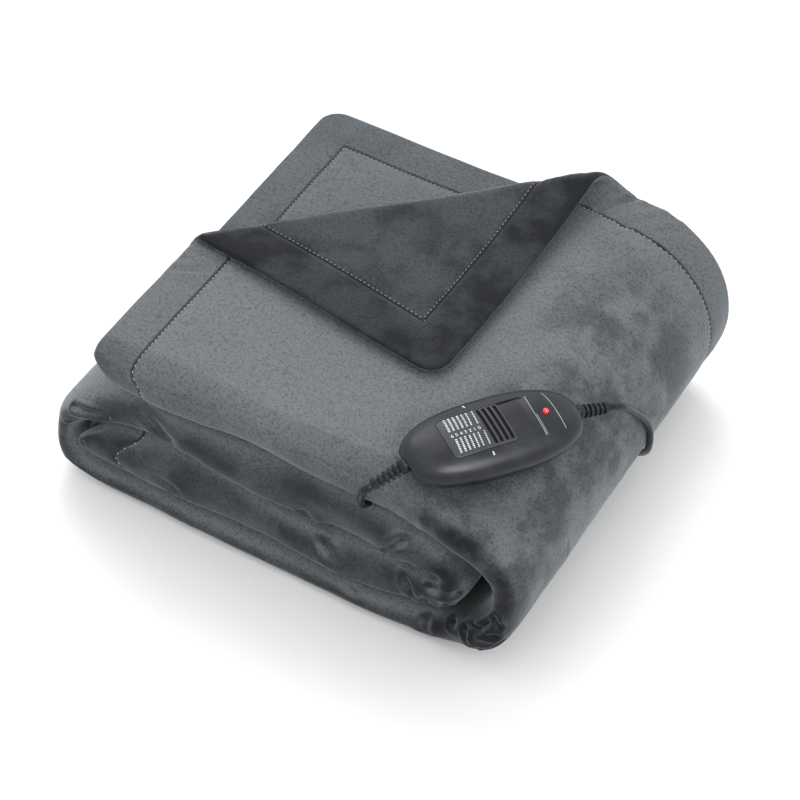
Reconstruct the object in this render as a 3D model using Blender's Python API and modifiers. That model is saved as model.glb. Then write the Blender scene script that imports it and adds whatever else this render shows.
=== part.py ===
# Electric heated blanket, folded into a flat roll, with its handset and mains lead. Metres, +Z up.
# The blanket is one length of cloth: folded in four across its width, then rolled flat in four
# panels, with one free corner of the top sheet turned back. X runs along the roll, Y across it.
import math

import bmesh
import bpy
from mathutils import Matrix, Vector

# Cloth
CLOTH_THICKNESS = 0.0070
SHEET_PITCH = 0.00935          # one sheet of the folded cloth to the next
PANEL_PITCH = 4 * SHEET_PITCH  # a panel of the roll holds four sheets

# Roll, in the folding frame: x = 0 at the free end of the top panel, y = 0 at the front folds
INNER_END_X = -0.0200          # free end of the first panel, inside the left turn
INNER_END_ROUND = 0.0200       # how far the first panel's outer sheets stop short of that
TONGUE_X = 0.2590              # centre of the first turn, at the right
LEFT_TURN_X = 0.0130           # centre of the second turn, at the left
RIGHT_TURN_X = 0.2609          # centre of the third, outer turn, at the right
TOP_END_X = 0.0000             # free end of the top panel
UNDER_END_X = 0.0095           # free end of the sheets below the top one

# Fold across the width: the front folds, the back fold and the two hems
FRONT_FOLD_Y = 1.5 * SHEET_PITCH + CLOTH_THICKNESS / 2
INNER_FOLD_Y = FRONT_FOLD_Y + 0.004
BACK_FOLD_Y = 0.3050
SECOND_HEM_Y = 0.3080
SIDE_HEM_Y = 0.3200            # the outer sheet's hem up to the right turn
TURN_HEM_Y = 0.3270            # the same hem where the right turn ends
TOP_HEM_Y = 0.3525             # the same hem at the free end of the top panel

# Turned-back corner of the top sheet: its fold line, the fold's radius and the corner's lie
CORNER_FOLD_START = Vector((0.0120, 0.1275))
CORNER_FOLD_END = Vector((0.2350, 0.3085))
CORNER_RADIUS_START = 0.0048
CORNER_RADIUS_END = 0.0128
CORNER_STRETCH = 1.02
CORNER_SKEW = 0.04

# How the folded cloth has settled
LOWEST_PANEL_SINK = 0.0157     # the lowest panel is pressed this much thinner
TONGUE_SINK = 0.0127           # the panel above the tongue swells down by this towards the right
LEFT_SAG = 0.14                # share of its height by which the left turn sags
LEFT_SPREAD = 0.0050           # how far its foot spreads to the left
CORNER_DROOP = 0.0150          # the top panel's droop over the tongue, at the front right corner
FRONT_WAVE = 0.0022            # unevenness of the front folds

# Handset: centre of its underside, the way it points and how it leans on the roll's shoulder
HANDSET_CENTRE = Vector((0.2745, 0.0640, 0.1415))
HANDSET_HEADING = math.radians(58)
HANDSET_LEAN = (math.sin(math.radians(13)), math.sin(math.radians(2)))
HANDSET_LENGTH = 0.134
HANDSET_WIDTH = 0.058
BASE_HEIGHT = 0.0120
COVER_HEIGHT = 0.0130
PARTING_GAP = 0.0003
CHANNEL_FROM = -0.0385         # the slide's channel along the handset
CHANNEL_TO = 0.0275
CHANNEL_WIDTH = 0.0318
CHANNEL_MIDDLE = 0.0018        # it lies a little towards the handset's far side
CHANNEL_FLOOR = 0.0223         # above the underside
SLIDE_LENGTH = 0.0470
SLIDE_THICKNESS = 0.0018
SLIDE_TRAVEL = 0.0180
SLIDE_CLEARANCE = 0.0003
GRIP_SLOTS = 4
BOOT_SEAT = 0.0645             # the flats where the strain reliefs meet the two ends
HEATER_BOOT_WAY = Vector((-0.92, -0.07, -0.40)).normalized()
MAINS_BOOT_WAY = Vector((1.06, -0.09, -0.10)).normalized()
LAMP_PLACE = (0.0385, 0.0009)
LAMP_RADIUS = 0.0024

# Cords and what is on them
HEATER_LEAD_RADIUS = 0.0025
MAINS_LEAD_RADIUS = 0.0025
BOOT_LENGTH = 0.0260
BOOT_RADIUS = 0.0050
COIL_CENTRE = Vector((0.2000, 0.3880))
COIL_RADII = (0.0237, 0.0423)
COIL_BOTTOM = 0.0013
COIL_HEIGHT = 0.0124
PLUG_BOOT_LENGTH = 0.0200
PLUG_LENGTH = 0.0355
PLUG_WIDTH = 0.0353
PLUG_HEIGHT = 0.0137
PIN_LENGTH = 0.0190
PIN_RADIUS = 0.0020
PIN_SPACING = 0.0186
JOINT_GAP = 0.0003
LEAD_GAP = 0.00075              # a lead's end is tilted, which takes up to 0.4 mm of this
TIE_GAP = 0.0006                # sideways: the coil's inner wall curves 0.26 mm towards the tie

# Folding frame to object frame
ORIGIN_X = 0.1447
ORIGIN_Y = 0.1604

half_pitch = PANEL_PITCH / 2
underside = half_pitch - 1.5 * SHEET_PITCH - CLOTH_THICKNESS / 2

# The roll's sections in order: a straight panel has its height and its two ends, and a turn has its
# centre, its upright radius, the angle where it starts and how far it presses the sheets together.
ROLL = [
    {"height": 1.5, "from": INNER_END_X, "to": TONGUE_X, "steps": 5},
    {"centre": TONGUE_X, "height": 2.0, "radius": 0.5, "start": -90, "squeeze": 0.72, "steps": 6},
    {"height": 2.5, "from": TONGUE_X, "to": LEFT_TURN_X, "steps": 5},
    {"centre": LEFT_TURN_X, "height": 1.5, "radius": 1.0, "start": 90, "squeeze": 0.50, "steps": 8},
    {"height": 0.5, "from": LEFT_TURN_X, "to": RIGHT_TURN_X, "steps": 5},
    {"centre": RIGHT_TURN_X, "height": 2.0, "radius": 1.5, "start": -90, "squeeze": 0.72, "steps": 12},
    {"height": 3.5, "from": RIGHT_TURN_X, "to": TOP_END_X, "steps": 13},
]
FIRST_PANEL, RIGHT_TURN, TOP_PANEL = 0, 5, 6

# The width's sections from the top sheet's hem. Lengths are those of the cloth's middle surface.
outer_fold_length = math.pi * 1.5 * SHEET_PITCH
small_fold_length = math.pi * 0.5 * SHEET_PITCH
STRIP = [
    {"length": TURN_HEM_Y - FRONT_FOLD_Y, "steps": 10},
    {"length": outer_fold_length, "steps": 8},
    {"length": BACK_FOLD_Y - FRONT_FOLD_Y, "steps": 4},
    {"length": small_fold_length, "steps": 4},
    {"length": BACK_FOLD_Y - INNER_FOLD_Y, "steps": 4},
    {"length": small_fold_length, "steps": 4},
    {"length": SECOND_HEM_Y - INNER_FOLD_Y, "steps": 6},
]


def section_length(section):
    if "start" not in section:
        return abs(section["to"] - section["from"])
    upright = section["radius"] * PANEL_PITCH
    return math.pi * (upright + (1 - section["squeeze"]) * half_pitch / 2)


def running_total(lengths):
    starts = [0.0]
    for length in lengths:
        starts.append(starts[-1] + length)
    return starts


roll_starts = running_total([section_length(section) for section in ROLL])
strip_starts = running_total([section["length"] for section in STRIP])


def find_section(starts, value):
    """The section that holds value, and how far along it value lies, from 0 to 1."""
    last = len(starts) - 2
    index = 0
    while index < last and value > starts[index + 1] + 1e-9:
        index += 1
    share = (value - starts[index]) / (starts[index + 1] - starts[index])
    return index, min(max(share, 0.0), 1.0)


def smooth_step(low, high, value):
    share = min(max((value - low) / (high - low), 0.0), 1.0)
    return share * share * (3 - 2 * share)


def panel_ends(index, offset):
    """A straight panel's two ends at this offset from its middle: its free ends aren't square."""
    start, end = ROLL[index]["from"], ROLL[index]["to"]
    if index == FIRST_PANEL:
        start += INNER_END_ROUND * min((offset / (1.5 * SHEET_PITCH)) ** 2, 1.0)
    if index == TOP_PANEL:
        below = min(max(1.5 - offset / SHEET_PITCH - 0.4, 0.0), 1.0)
        end += (UNDER_END_X - TOP_END_X) * below
    return start, end


def along_roll(a, offset):
    """At length a: the panel's middle (x, z), its outward direction and the sheets' squeeze."""
    index, share = find_section(roll_starts, a)
    section = ROLL[index]
    if "start" not in section:
        start, end = panel_ends(index, offset)
        up = -1.0 if end > start else 1.0
        return start + (end - start) * share, section["height"] * PANEL_PITCH, 0.0, up, 1.0
    angle = math.radians(section["start"] + 180 * share)
    upright = section["radius"] * PANEL_PITCH
    reach = upright + (1 - section["squeeze"]) * half_pitch
    x = section["centre"] + reach * math.cos(angle)
    z = section["height"] * PANEL_PITCH + upright * math.sin(angle)
    out = Vector((math.cos(angle) / reach, math.sin(angle) / upright)).normalized()
    squeeze = 1 - (1 - section["squeeze"]) * math.sin(math.pi * share) ** 2
    return x, z, out.x, out.y, squeeze


def outer_hem_y(a):
    index, share = find_section(roll_starts, a)
    if index == TOP_PANEL:
        return TURN_HEM_Y + (TOP_HEM_Y - TURN_HEM_Y) * share
    if index == RIGHT_TURN:
        return SIDE_HEM_Y + (TURN_HEM_Y - SIDE_HEM_Y) * smooth_step(0.3, 1.0, share)
    return SIDE_HEM_Y


def across_strip(b, hem_y):
    """At width b: the cloth's middle (y, offset in the panel) and its outward direction there."""
    index, share = find_section(strip_starts, b)
    if index in (0, 2, 4, 6):
        start, end = {
            0: (hem_y, FRONT_FOLD_Y),
            2: (FRONT_FOLD_Y, BACK_FOLD_Y),
            4: (BACK_FOLD_Y, INNER_FOLD_Y),
            6: (INNER_FOLD_Y, SECOND_HEM_Y),
        }[index]
        level = {0: 1.5, 2: -1.5, 4: -0.5, 6: 0.5}[index]
        out = 1.0 if end < start else -1.0
        return start + (end - start) * share, level * SHEET_PITCH, 0.0, out
    turn = math.pi * share
    if index == 1:
        radius = 1.5 * SHEET_PITCH
        out = (-math.sin(turn), math.cos(turn))
        return FRONT_FOLD_Y + radius * out[0], radius * out[1], *out
    radius = 0.5 * SHEET_PITCH
    if index == 3:
        out = (math.sin(turn), -math.cos(turn))
        return BACK_FOLD_Y + radius * out[0], radius * out[1] - SHEET_PITCH, *out
    # The inner fold lies inside the front one, so the cloth's outward side faces its centre.
    out = (-math.sin(turn), -math.cos(turn))
    return INNER_FOLD_Y + radius * out[0], radius * out[1], -out[0], -out[1]


corner_line = (CORNER_FOLD_END - CORNER_FOLD_START).normalized()
corner_away = Vector((-corner_line.y, corner_line.x))
corner_length = (CORNER_FOLD_END - CORNER_FOLD_START).length


def corner_radius(along):
    share = min(max(along / corner_length, 0.0), 1.0)
    return CORNER_RADIUS_START + (CORNER_RADIUS_END - CORNER_RADIUS_START) * share


def turn_corner(x, y, height):
    """A point of the top sheet, with the corner past the fold line turned back over the sheet."""
    offset = Vector((x, y)) - CORNER_FOLD_START
    along = offset.dot(corner_line)
    past = offset.dot(corner_away)
    if past <= 0:
        return x, y, height
    radius = corner_radius(along)
    if past < math.pi * radius:
        turn = past / radius
        away = (radius - height) * math.sin(turn)
        lift = radius - (radius - height) * math.cos(turn)
    else:
        beyond = past - math.pi * radius
        settled = CORNER_RADIUS_START + (radius - CORNER_RADIUS_START) * math.exp(-beyond / 0.05)
        away = -beyond * CORNER_STRETCH
        lift = 2 * settled - height
        along += CORNER_SKEW * beyond
    point = CORNER_FOLD_START + corner_line * along + corner_away * away
    return point.x, point.y, lift


def fold(a, b, height):
    """The flat cloth's point (a along the roll, b across), at a height above its middle surface."""
    panel = find_section(roll_starts, a)[0]
    sheet = find_section(strip_starts, b)[0]
    y, offset, out_y, out_offset = across_strip(b, outer_hem_y(a))
    y += out_y * height
    offset += out_offset * height
    x, z, out_x, out_z, squeeze = along_roll(a, offset)
    if panel == TOP_PANEL and sheet == 0:
        x, y, lift = turn_corner(x, y, height)
        offset = 1.5 * SHEET_PITCH + lift
    offset *= squeeze
    return settle(x + out_x * offset, y, z + out_z * offset, panel == TOP_PANEL)


def sunk_height(x, z):
    """The lower panels are pressed thinner by the weight on them, and the one above them swells."""
    fade = 1 - smooth_step(0.225, 0.295, x)
    low = LOWEST_PANEL_SINK * fade
    middle = TONGUE_SINK * smooth_step(0.03, 0.165, x) * fade
    levels = [0.0, *(count * PANEL_PITCH - underside for count in (1, 2, 3))]
    sunk = [0.0, levels[1] - low, levels[2] - middle, levels[3]]
    if z >= levels[3]:
        return z
    index, share = find_section(levels, z)
    return sunk[index] + (sunk[index + 1] - sunk[index]) * share


def handset_bed(x, y):
    """How deep the handset has pressed into the roll's shoulder at this point."""
    place = handset_matrix.inverted() @ Vector((x, y, HANDSET_CENTRE.z))
    along = place.x / (0.52 * HANDSET_LENGTH)
    across = place.y / (0.75 * HANDSET_WIDTH)
    return BED_DEPTH * max(0.0, 1 - along ** 2) * max(0.0, 1 - across ** 2)


def settle(x, y, z, in_top_panel):
    """Moves a point of the neatly folded cloth to where its own weight and the handset put it."""
    full_height = 4 * PANEL_PITCH
    z = sunk_height(x, z - underside)
    front = math.exp(-(max(y, 0.0) / 0.07) ** 2)
    if not in_top_panel:
        sag = smooth_step(0.0, 1.0, (0.037 - x) / 0.075)
        x -= LEFT_SPREAD * sag * (1 - z / (3 * PANEL_PITCH))
        z *= 1 - LEFT_SAG * sag
    over_tongue = smooth_step(1.5 * PANEL_PITCH, 3.4 * PANEL_PITCH, z)
    z -= CORNER_DROOP * front * over_tongue * math.exp(-((x - 0.284) / 0.038) ** 2)
    z -= handset_bed(x, y) * smooth_step(2.2 * PANEL_PITCH, 3.8 * PANEL_PITCH, z)
    raised = min(z / full_height, 1.0)
    y += FRONT_WAVE * math.sin(47 * x + 70 * z) * front * min(4 * raised, 1.0)
    y -= 0.0025 * math.exp(-((x - 0.17) / 0.09) ** 2) * front * (1 - smooth_step(0.01, 0.05, z))
    y -= 0.0080 * math.exp(-((x - 0.315) / 0.035) ** 2) * front * math.exp(-((z - 0.035) / 0.03) ** 2)
    z += 0.0010 * math.sin(31 * x + 1.0) * math.sin(26 * y + 0.6) * raised
    return Vector((x - ORIGIN_X, y - ORIGIN_Y, z))


BED_DEPTH = 0.0042
out_z = math.sqrt(1 - HANDSET_LEAN[0] ** 2 - HANDSET_LEAN[1] ** 2)
handset_up = Vector((*HANDSET_LEAN, out_z))
heading = Vector((math.cos(HANDSET_HEADING), math.sin(HANDSET_HEADING), 0))
handset_along = (heading - handset_up * heading.dot(handset_up)).normalized()
handset_across = handset_up.cross(handset_along)
handset_matrix = Matrix((handset_along, handset_across, handset_up)).transposed().to_4x4()
handset_matrix.translation = HANDSET_CENTRE


def make_material(name, colour, roughness, metallic=0.0):
    material = bpy.data.materials.new(name)
    material.use_nodes = True
    shader = material.node_tree.nodes["Principled BSDF"]
    shader.inputs["Base Color"].default_value = (*colour, 1)
    shader.inputs["Roughness"].default_value = roughness
    shader.inputs["Metallic"].default_value = metallic
    return material


def add_object(name, data, material):
    item = bpy.data.objects.new(name, data)
    data.materials.append(material)
    pieces.objects.link(item)
    return item


def add_mesh(name, bm, material, smooth=True):
    mesh = bpy.data.meshes.new(name)
    bm.to_mesh(mesh)
    bm.free()
    if smooth:
        mesh.shade_smooth()
        mesh.set_sharp_from_angle(angle=math.radians(40))
    return add_object(name, mesh, material)


def section_lines(starts, sections):
    """The flat cloth's cut lines: each section shared out evenly."""
    lines = [0.0]
    for index, section in enumerate(sections):
        for step in range(1, section["steps"] + 1):
            share = step / section["steps"]
            lines.append(starts[index] + (starts[index + 1] - starts[index]) * share)
    return lines


def cut_corner_lines(bm):
    """Cuts the top panel's upper sheet along the corner's fold, so that it bends cleanly there."""
    for share in (0.0, 0.25, 0.5, 0.75, 1.0):
        line_ends = []
        for along in (-0.02, corner_length + 0.02):
            away = math.pi * corner_radius(along) * share
            point = CORNER_FOLD_START + corner_line * along + corner_away * away
            a = roll_starts[TOP_PANEL] + RIGHT_TURN_X - point.x
            hem_y = outer_hem_y(a)
            b = STRIP[0]["length"] * (hem_y - point.y) / (hem_y - FRONT_FOLD_Y)
            line_ends.append(Vector((a, b, 0)))
        faces = []
        for face in bm.faces:
            middle = face.calc_center_median()
            if middle.x > roll_starts[TOP_PANEL] and middle.y < strip_starts[1]:
                faces.append(face)
        edges = {edge for face in faces for edge in face.edges}
        verts = {vert for face in faces for vert in face.verts}
        side = (line_ends[1] - line_ends[0]).cross(Vector((0, 0, 1)))
        bmesh.ops.bisect_plane(
            bm, geom=[*faces, *edges, *verts], plane_co=line_ends[0], plane_no=side, dist=1e-4
        )


def make_blanket():
    a_lines = section_lines(roll_starts, ROLL)
    b_lines = section_lines(strip_starts, STRIP)
    columns, rows = len(a_lines) - 1, len(b_lines) - 1
    bm = bmesh.new()
    bmesh.ops.create_grid(bm, x_segments=columns, y_segments=rows, size=1)
    for vert in bm.verts:
        column = round((vert.co.x + 1) / 2 * columns)
        row = round((vert.co.y + 1) / 2 * rows)
        vert.co = (a_lines[column], b_lines[row], 0)
    cut_corner_lines(bm)
    bmesh.ops.solidify(bm, geom=list(bm.faces), thickness=CLOTH_THICKNESS)
    middle = sum(vert.co.z for vert in bm.verts) / len(bm.verts)
    for vert in bm.verts:
        height = math.copysign(CLOTH_THICKNESS / 2, vert.co.z - middle)
        vert.co = fold(vert.co.x, vert.co.y, height)
    bmesh.ops.recalc_face_normals(bm, faces=bm.faces)
    return add_mesh("blanket", bm, plush)


def rounded_power(value, power):
    return math.copysign(abs(value) ** power, value)


def close_cut(bm):
    rim = [edge for edge in bm.edges if edge.is_boundary]
    bmesh.ops.contextual_create(bm, geom=rim)


def make_shell_half(name, height, side):
    """Half of the handset's lozenge: a sphere pulled out to a rounded box, cut at the parting."""
    bm = bmesh.new()
    bmesh.ops.create_uvsphere(bm, u_segments=36, v_segments=16, radius=1)
    for vert in bm.verts:
        turn = math.atan2(vert.co.y, vert.co.x)
        rise = math.asin(max(-1.0, min(1.0, vert.co.z)))
        plan = rounded_power(math.cos(rise), 0.74)
        x = HANDSET_LENGTH / 2 * rounded_power(math.cos(turn), 0.80) * plan
        y = HANDSET_WIDTH / 2 * rounded_power(math.sin(turn), 0.80) * plan
        vert.co = (x, y, height * rounded_power(math.sin(rise), 0.78))
    cut = Vector((0, 0, side * PARTING_GAP / 2))
    bmesh.ops.bisect_plane(
        bm, geom=[*bm.verts, *bm.edges, *bm.faces], dist=1e-7, plane_co=cut,
        plane_no=(0, 0, -side), clear_outer=True,
    )
    close_cut(bm)
    bmesh.ops.translate(bm, verts=bm.verts, vec=(0, 0, BASE_HEIGHT))
    for end, way in ((-1, HEATER_BOOT_WAY), (1, MAINS_BOOT_WAY)):
        bmesh.ops.bisect_plane(
            bm, geom=[*bm.verts, *bm.edges, *bm.faces], dist=1e-7,
            plane_co=(end * BOOT_SEAT, 0, BASE_HEIGHT), plane_no=way, clear_outer=True,
        )
        close_cut(bm)
    bmesh.ops.recalc_face_normals(bm, faces=bm.faces)
    shell = add_mesh(name, bm, shell_plastic)
    shell.matrix_world = object_matrix
    return shell


def make_block(size, centre, bevel=0.0):
    """A box with its upright edges rounded."""
    bm = bmesh.new()
    bmesh.ops.create_cube(bm, size=1)
    bmesh.ops.scale(bm, verts=bm.verts, vec=size)
    if bevel:
        upright = [edge for edge in bm.edges if abs(edge.verts[0].co.z - edge.verts[1].co.z) > 1e-6]
        bmesh.ops.bevel(bm, geom=upright, offset=bevel, segments=3, affect="EDGES", profile=0.5)
    bmesh.ops.translate(bm, verts=bm.verts, vec=centre)
    return bm


def cut_with(item, bm, name):
    mesh = bpy.data.meshes.new(name)
    bmesh.ops.recalc_face_normals(bm, faces=bm.faces)
    bm.to_mesh(mesh)
    bm.free()
    cutter = bpy.data.objects.new(name, mesh)
    cutter.matrix_world = object_matrix
    cutter.hide_render = True
    cutter.display_type = "WIRE"
    cutters.objects.link(cutter)
    boolean = item.modifiers.new(name, "BOOLEAN")
    boolean.operation = "DIFFERENCE"
    boolean.object = cutter


def make_cover():
    cover = make_shell_half("handset_cover", COVER_HEIGHT, 1)
    top = BASE_HEIGHT + COVER_HEIGHT
    length = CHANNEL_TO - CHANNEL_FROM
    middle = (CHANNEL_FROM + CHANNEL_TO) / 2
    channel = make_block(
        (length, CHANNEL_WIDTH, 0.02), (middle, CHANNEL_MIDDLE, CHANNEL_FLOOR + 0.01), 0.003
    )
    cut_with(cover, channel, "channel_cutter")
    guide_from = SLIDE_STEM[0] - 0.001
    guide_to = SLIDE_STEM[1] + SLIDE_TRAVEL + 0.001
    guide = make_block(
        (guide_to - guide_from, 0.0062, 0.008),
        ((guide_from + guide_to) / 2, CHANNEL_MIDDLE, CHANNEL_FLOOR - 0.0005),
    )
    cut_with(cover, guide, "guide_cutter")
    socket = bmesh.new()
    bmesh.ops.create_cone(
        socket, cap_ends=True, segments=20, radius1=LAMP_RADIUS + 0.0003,
        radius2=LAMP_RADIUS + 0.0003, depth=0.008,
    )
    bmesh.ops.translate(socket, verts=socket.verts, vec=(*LAMP_PLACE, top - 0.0010))
    cut_with(cover, socket, "lamp_cutter")
    return cover


def make_slide():
    """The slide switch: a plate in the channel with a grip of cross slots and a stem below."""
    bottom = CHANNEL_FLOOR + SLIDE_CLEARANCE
    start = CHANNEL_FROM + SLIDE_CLEARANCE
    width = CHANNEL_WIDTH - 2 * SLIDE_CLEARANCE
    plate = make_block(
        (SLIDE_LENGTH, width, SLIDE_THICKNESS),
        (start + SLIDE_LENGTH / 2, CHANNEL_MIDDLE, bottom + SLIDE_THICKNESS / 2), 0.0027,
    )
    slide = add_mesh("slide_switch", plate, slide_plastic)
    slide.matrix_world = object_matrix
    for slot in range(GRIP_SLOTS):
        x = start + SLIDE_LENGTH - 0.0035 - 0.0040 * slot
        groove = make_block(
            (0.0015, width - 0.004, 0.002), (x, CHANNEL_MIDDLE, bottom + SLIDE_THICKNESS + 0.0001)
        )
        cut_with(slide, groove, f"grip_cutter_{slot}")
    stem = make_block(
        (SLIDE_STEM[1] - SLIDE_STEM[0], 0.0056, 0.0040),
        (sum(SLIDE_STEM) / 2, CHANNEL_MIDDLE, bottom - 0.0015),
    )
    mesh = bpy.data.meshes.new("stem")
    stem.to_mesh(mesh)
    stem.free()
    foot = bpy.data.objects.new("stem", mesh)
    foot.matrix_world = object_matrix
    foot.hide_render = True
    foot.display_type = "WIRE"
    cutters.objects.link(foot)
    join = slide.modifiers.new("stem", "BOOLEAN")
    join.operation = "UNION"
    join.object = foot
    return slide


def make_lamp():
    bm = bmesh.new()
    bmesh.ops.create_uvsphere(bm, u_segments=16, v_segments=10, radius=LAMP_RADIUS)
    for vert in bm.verts:
        if vert.co.z < 0:
            vert.co.z *= 0.6
    bmesh.ops.translate(bm, verts=bm.verts, vec=(*LAMP_PLACE, LAMP_HEIGHT))
    lamp = add_mesh("power_lamp", bm, lamp_lens)
    lamp.matrix_world = object_matrix
    return lamp


def make_turned(name, profile, start, direction, material, steps=16):
    """A turned piece: (length along it, radius) rows, from start along direction."""
    bm = bmesh.new()
    verts = [bm.verts.new((radius, 0, length)) for length, radius in reversed(profile)]
    for first, second in zip(verts, verts[1:]):
        bm.edges.new((first, second))
    item = add_mesh(name, bm, material, smooth=False)
    screw = item.modifiers.new("turn", "SCREW")
    screw.steps = steps
    screw.render_steps = steps
    screw.use_merge_vertices = True
    screw.merge_threshold = 0.00001
    turn = direction.to_track_quat("Z", "Y")
    item.matrix_world = Matrix.Translation(start) @ turn.to_matrix().to_4x4()
    return item


def boot_profile(length, thick, thin, ribs):
    """A ribbed strain relief: a tapered sleeve cut by rings."""
    rows = [(0.0, 0.0), (0.0, thick), (0.20 * length, thick)]
    pitch = 0.72 * length / ribs
    for rib in range(ribs):
        foot = 0.20 * length + pitch * rib
        taper = thick + (thin - thick) * (foot / length)
        rows += [
            (foot + 0.10 * pitch, taper * 0.72), (foot + 0.45 * pitch, taper * 0.72),
            (foot + 0.55 * pitch, taper), (foot + 0.95 * pitch, taper * 0.97),
        ]
    return [*rows, (length, thin), (length, 0.0)]


def smooth_route(points, spacing):
    """Points at an even spacing on a smooth curve through the route's own points."""
    points = [Vector(point) for point in points]
    padded = [2 * points[0] - points[1], *points, 2 * points[-1] - points[-2]]
    fine = []
    for index in range(1, len(padded) - 2):
        before, start, end, after = padded[index - 1:index + 3]
        for step in range(24):
            t = step / 24
            fine.append(0.5 * (
                2 * start + (end - before) * t + (2 * before - 5 * start + 4 * end - after) * t ** 2
                + (3 * start - before - 3 * end + after) * t ** 3
            ))
    fine.append(points[-1])
    lengths = running_total([(b - a).length for a, b in zip(fine, fine[1:])])
    count = max(2, round(lengths[-1] / spacing))
    route = []
    for step in range(count + 1):
        goal = lengths[-1] * step / count
        index, share = find_section(lengths, goal)
        route.append(fine[index].lerp(fine[index + 1], share))
    return route


def in_object_frame(point):
    return Vector(point) - Vector((ORIGIN_X, ORIGIN_Y, 0))


def make_cord(name, points, radius, spacing):
    route = smooth_route([in_object_frame(point) for point in points], spacing)
    curve = bpy.data.curves.new(name, "CURVE")
    curve.dimensions = "3D"
    curve.bevel_depth = radius
    curve.bevel_resolution = 2
    curve.use_fill_caps = True
    spline = curve.splines.new("POLY")
    spline.points.add(len(route) - 1)
    for point, place in zip(spline.points, route):
        point.co = (*place, 1)
    return add_object(name, curve, cord_sleeve)


def make_coil():
    """The outer shape of the mains lead's coil, behind the blanket, and the tie round it."""
    inner, outer = COIL_RADII
    top = COIL_BOTTOM + COIL_HEIGHT
    bm = bmesh.new()
    corner = 0.0022
    section = [
        (outer, top - corner), (outer, COIL_BOTTOM + corner), (outer - corner, COIL_BOTTOM),
        (inner + corner, COIL_BOTTOM), (inner, COIL_BOTTOM + corner), (inner, top - corner),
        (inner + corner, top), (outer - corner, top),
    ]
    verts = [bm.verts.new((x, 0, z)) for x, z in section]
    for first, second in zip(verts, [*verts[1:], verts[0]]):
        bm.edges.new((first, second))
    bmesh.ops.spin(
        bm, geom=[*bm.verts, *bm.edges], cent=(0, 0, 0), axis=(0, 0, 1), angle=2 * math.pi,
        steps=40, use_merge=True,
    )
    bmesh.ops.recalc_face_normals(bm, faces=bm.faces)
    coil = add_mesh("mains_coil", bm, cord_sleeve)
    coil.location = in_object_frame((*COIL_CENTRE, 0))
    return coil


def make_tie():
    inner, outer = COIL_RADII
    wall, width = 0.0008, 0.0070
    length, height = outer - inner + 2 * TIE_GAP, COIL_HEIGHT + 2 * JOINT_GAP
    outside = make_block((length + 2 * wall, width, height + 2 * wall), (0, 0, 0))
    tie = add_mesh("coil_tie", outside, tie_strap, smooth=False)
    inside = make_block((length, 2 * width, height), (0, 0, 0))
    place = in_object_frame((*COIL_CENTRE, COIL_BOTTOM + COIL_HEIGHT / 2))
    angle = math.radians(35)
    middle = (inner + outer) / 2
    offset = Vector((math.cos(angle) * middle, math.sin(angle) * middle, 0))
    tie.matrix_world = Matrix.Translation(place + offset) @ Matrix.Rotation(angle, 4, "Z")
    cut_with(tie, inside, "tie_cutter")
    cutters.objects["tie_cutter"].matrix_world = tie.matrix_world
    return tie


def make_plug():
    """A flat two-pin plug lying on its side of the coil, its lead leaving towards the coil."""
    x, y, z = in_object_frame(PLUG_START)
    body = bmesh.new()
    bmesh.ops.create_cube(body, size=1)
    bmesh.ops.scale(body, verts=body.verts, vec=(PLUG_LENGTH, PLUG_WIDTH, PLUG_HEIGHT))
    for vert in body.verts:
        if vert.co.x > 0:
            vert.co.y *= 0.42
            vert.co.z *= 0.86
    bmesh.ops.bevel(
        body, geom=list(body.edges), offset=0.0034, segments=3, affect="EDGES", profile=0.5
    )
    plug = add_mesh("plug_body", body, plug_plastic)
    plug.location = (x - PLUG_LENGTH / 2, y, z)
    for index, side in enumerate((-1, 1)):
        profile = [
            (0.0, 0.0), (0.0, PIN_RADIUS), (PIN_LENGTH - 0.001, PIN_RADIUS),
            (PIN_LENGTH, PIN_RADIUS - 0.001), (PIN_LENGTH, 0.0),
        ]
        start = Vector((x - PLUG_LENGTH - JOINT_GAP, y + side * PIN_SPACING / 2, z))
        make_turned(f"plug_pin_{index + 1}", profile, start, Vector((-1, 0, 0)), pin_metal, 12)
    profile = boot_profile(PLUG_BOOT_LENGTH, 0.0050, 0.0034, 4)
    make_turned("plug_boot", profile, Vector((x + JOINT_GAP, y, z)), Vector((1, 0, 0)), plug_plastic)
    return plug


for item in list(bpy.data.objects):
    bpy.data.objects.remove(item)
pieces = bpy.data.collections.new("electric_heated_blanket")
cutters = bpy.data.collections.new("cutters")
for group in (pieces, cutters):
    bpy.context.scene.collection.children.link(group)

plush = make_material("plush", (0.075, 0.083, 0.092), 0.92)
shell_plastic = make_material("shell_plastic", (0.045, 0.050, 0.054), 0.42)
slide_plastic = make_material("slide_plastic", (0.052, 0.057, 0.061), 0.46)
lamp_lens = make_material("lamp_lens", (0.75, 0.02, 0.03), 0.15)
boot_rubber = make_material("boot_rubber", (0.020, 0.021, 0.023), 0.55)
cord_sleeve = make_material("cord_sleeve", (0.022, 0.023, 0.025), 0.50)
plug_plastic = make_material("plug_plastic", (0.025, 0.026, 0.028), 0.45)
pin_metal = make_material("pin_metal", (0.72, 0.72, 0.70), 0.25, 1.0)
tie_strap = make_material("tie_strap", (0.015, 0.015, 0.016), 0.60)

SLIDE_STEM = (-0.0200, -0.0120)
LAMP_HEIGHT = BASE_HEIGHT + COVER_HEIGHT - 0.0012
PLUG_START = Vector((0.1270, COIL_CENTRE.y - 0.0390, PLUG_HEIGHT / 2 + 0.0001))
object_matrix = Matrix.Translation((-ORIGIN_X, -ORIGIN_Y, -0.0)) @ handset_matrix

make_blanket()
make_shell_half("handset_base", BASE_HEIGHT, -1)
make_cover()
make_slide()
make_lamp()

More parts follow.
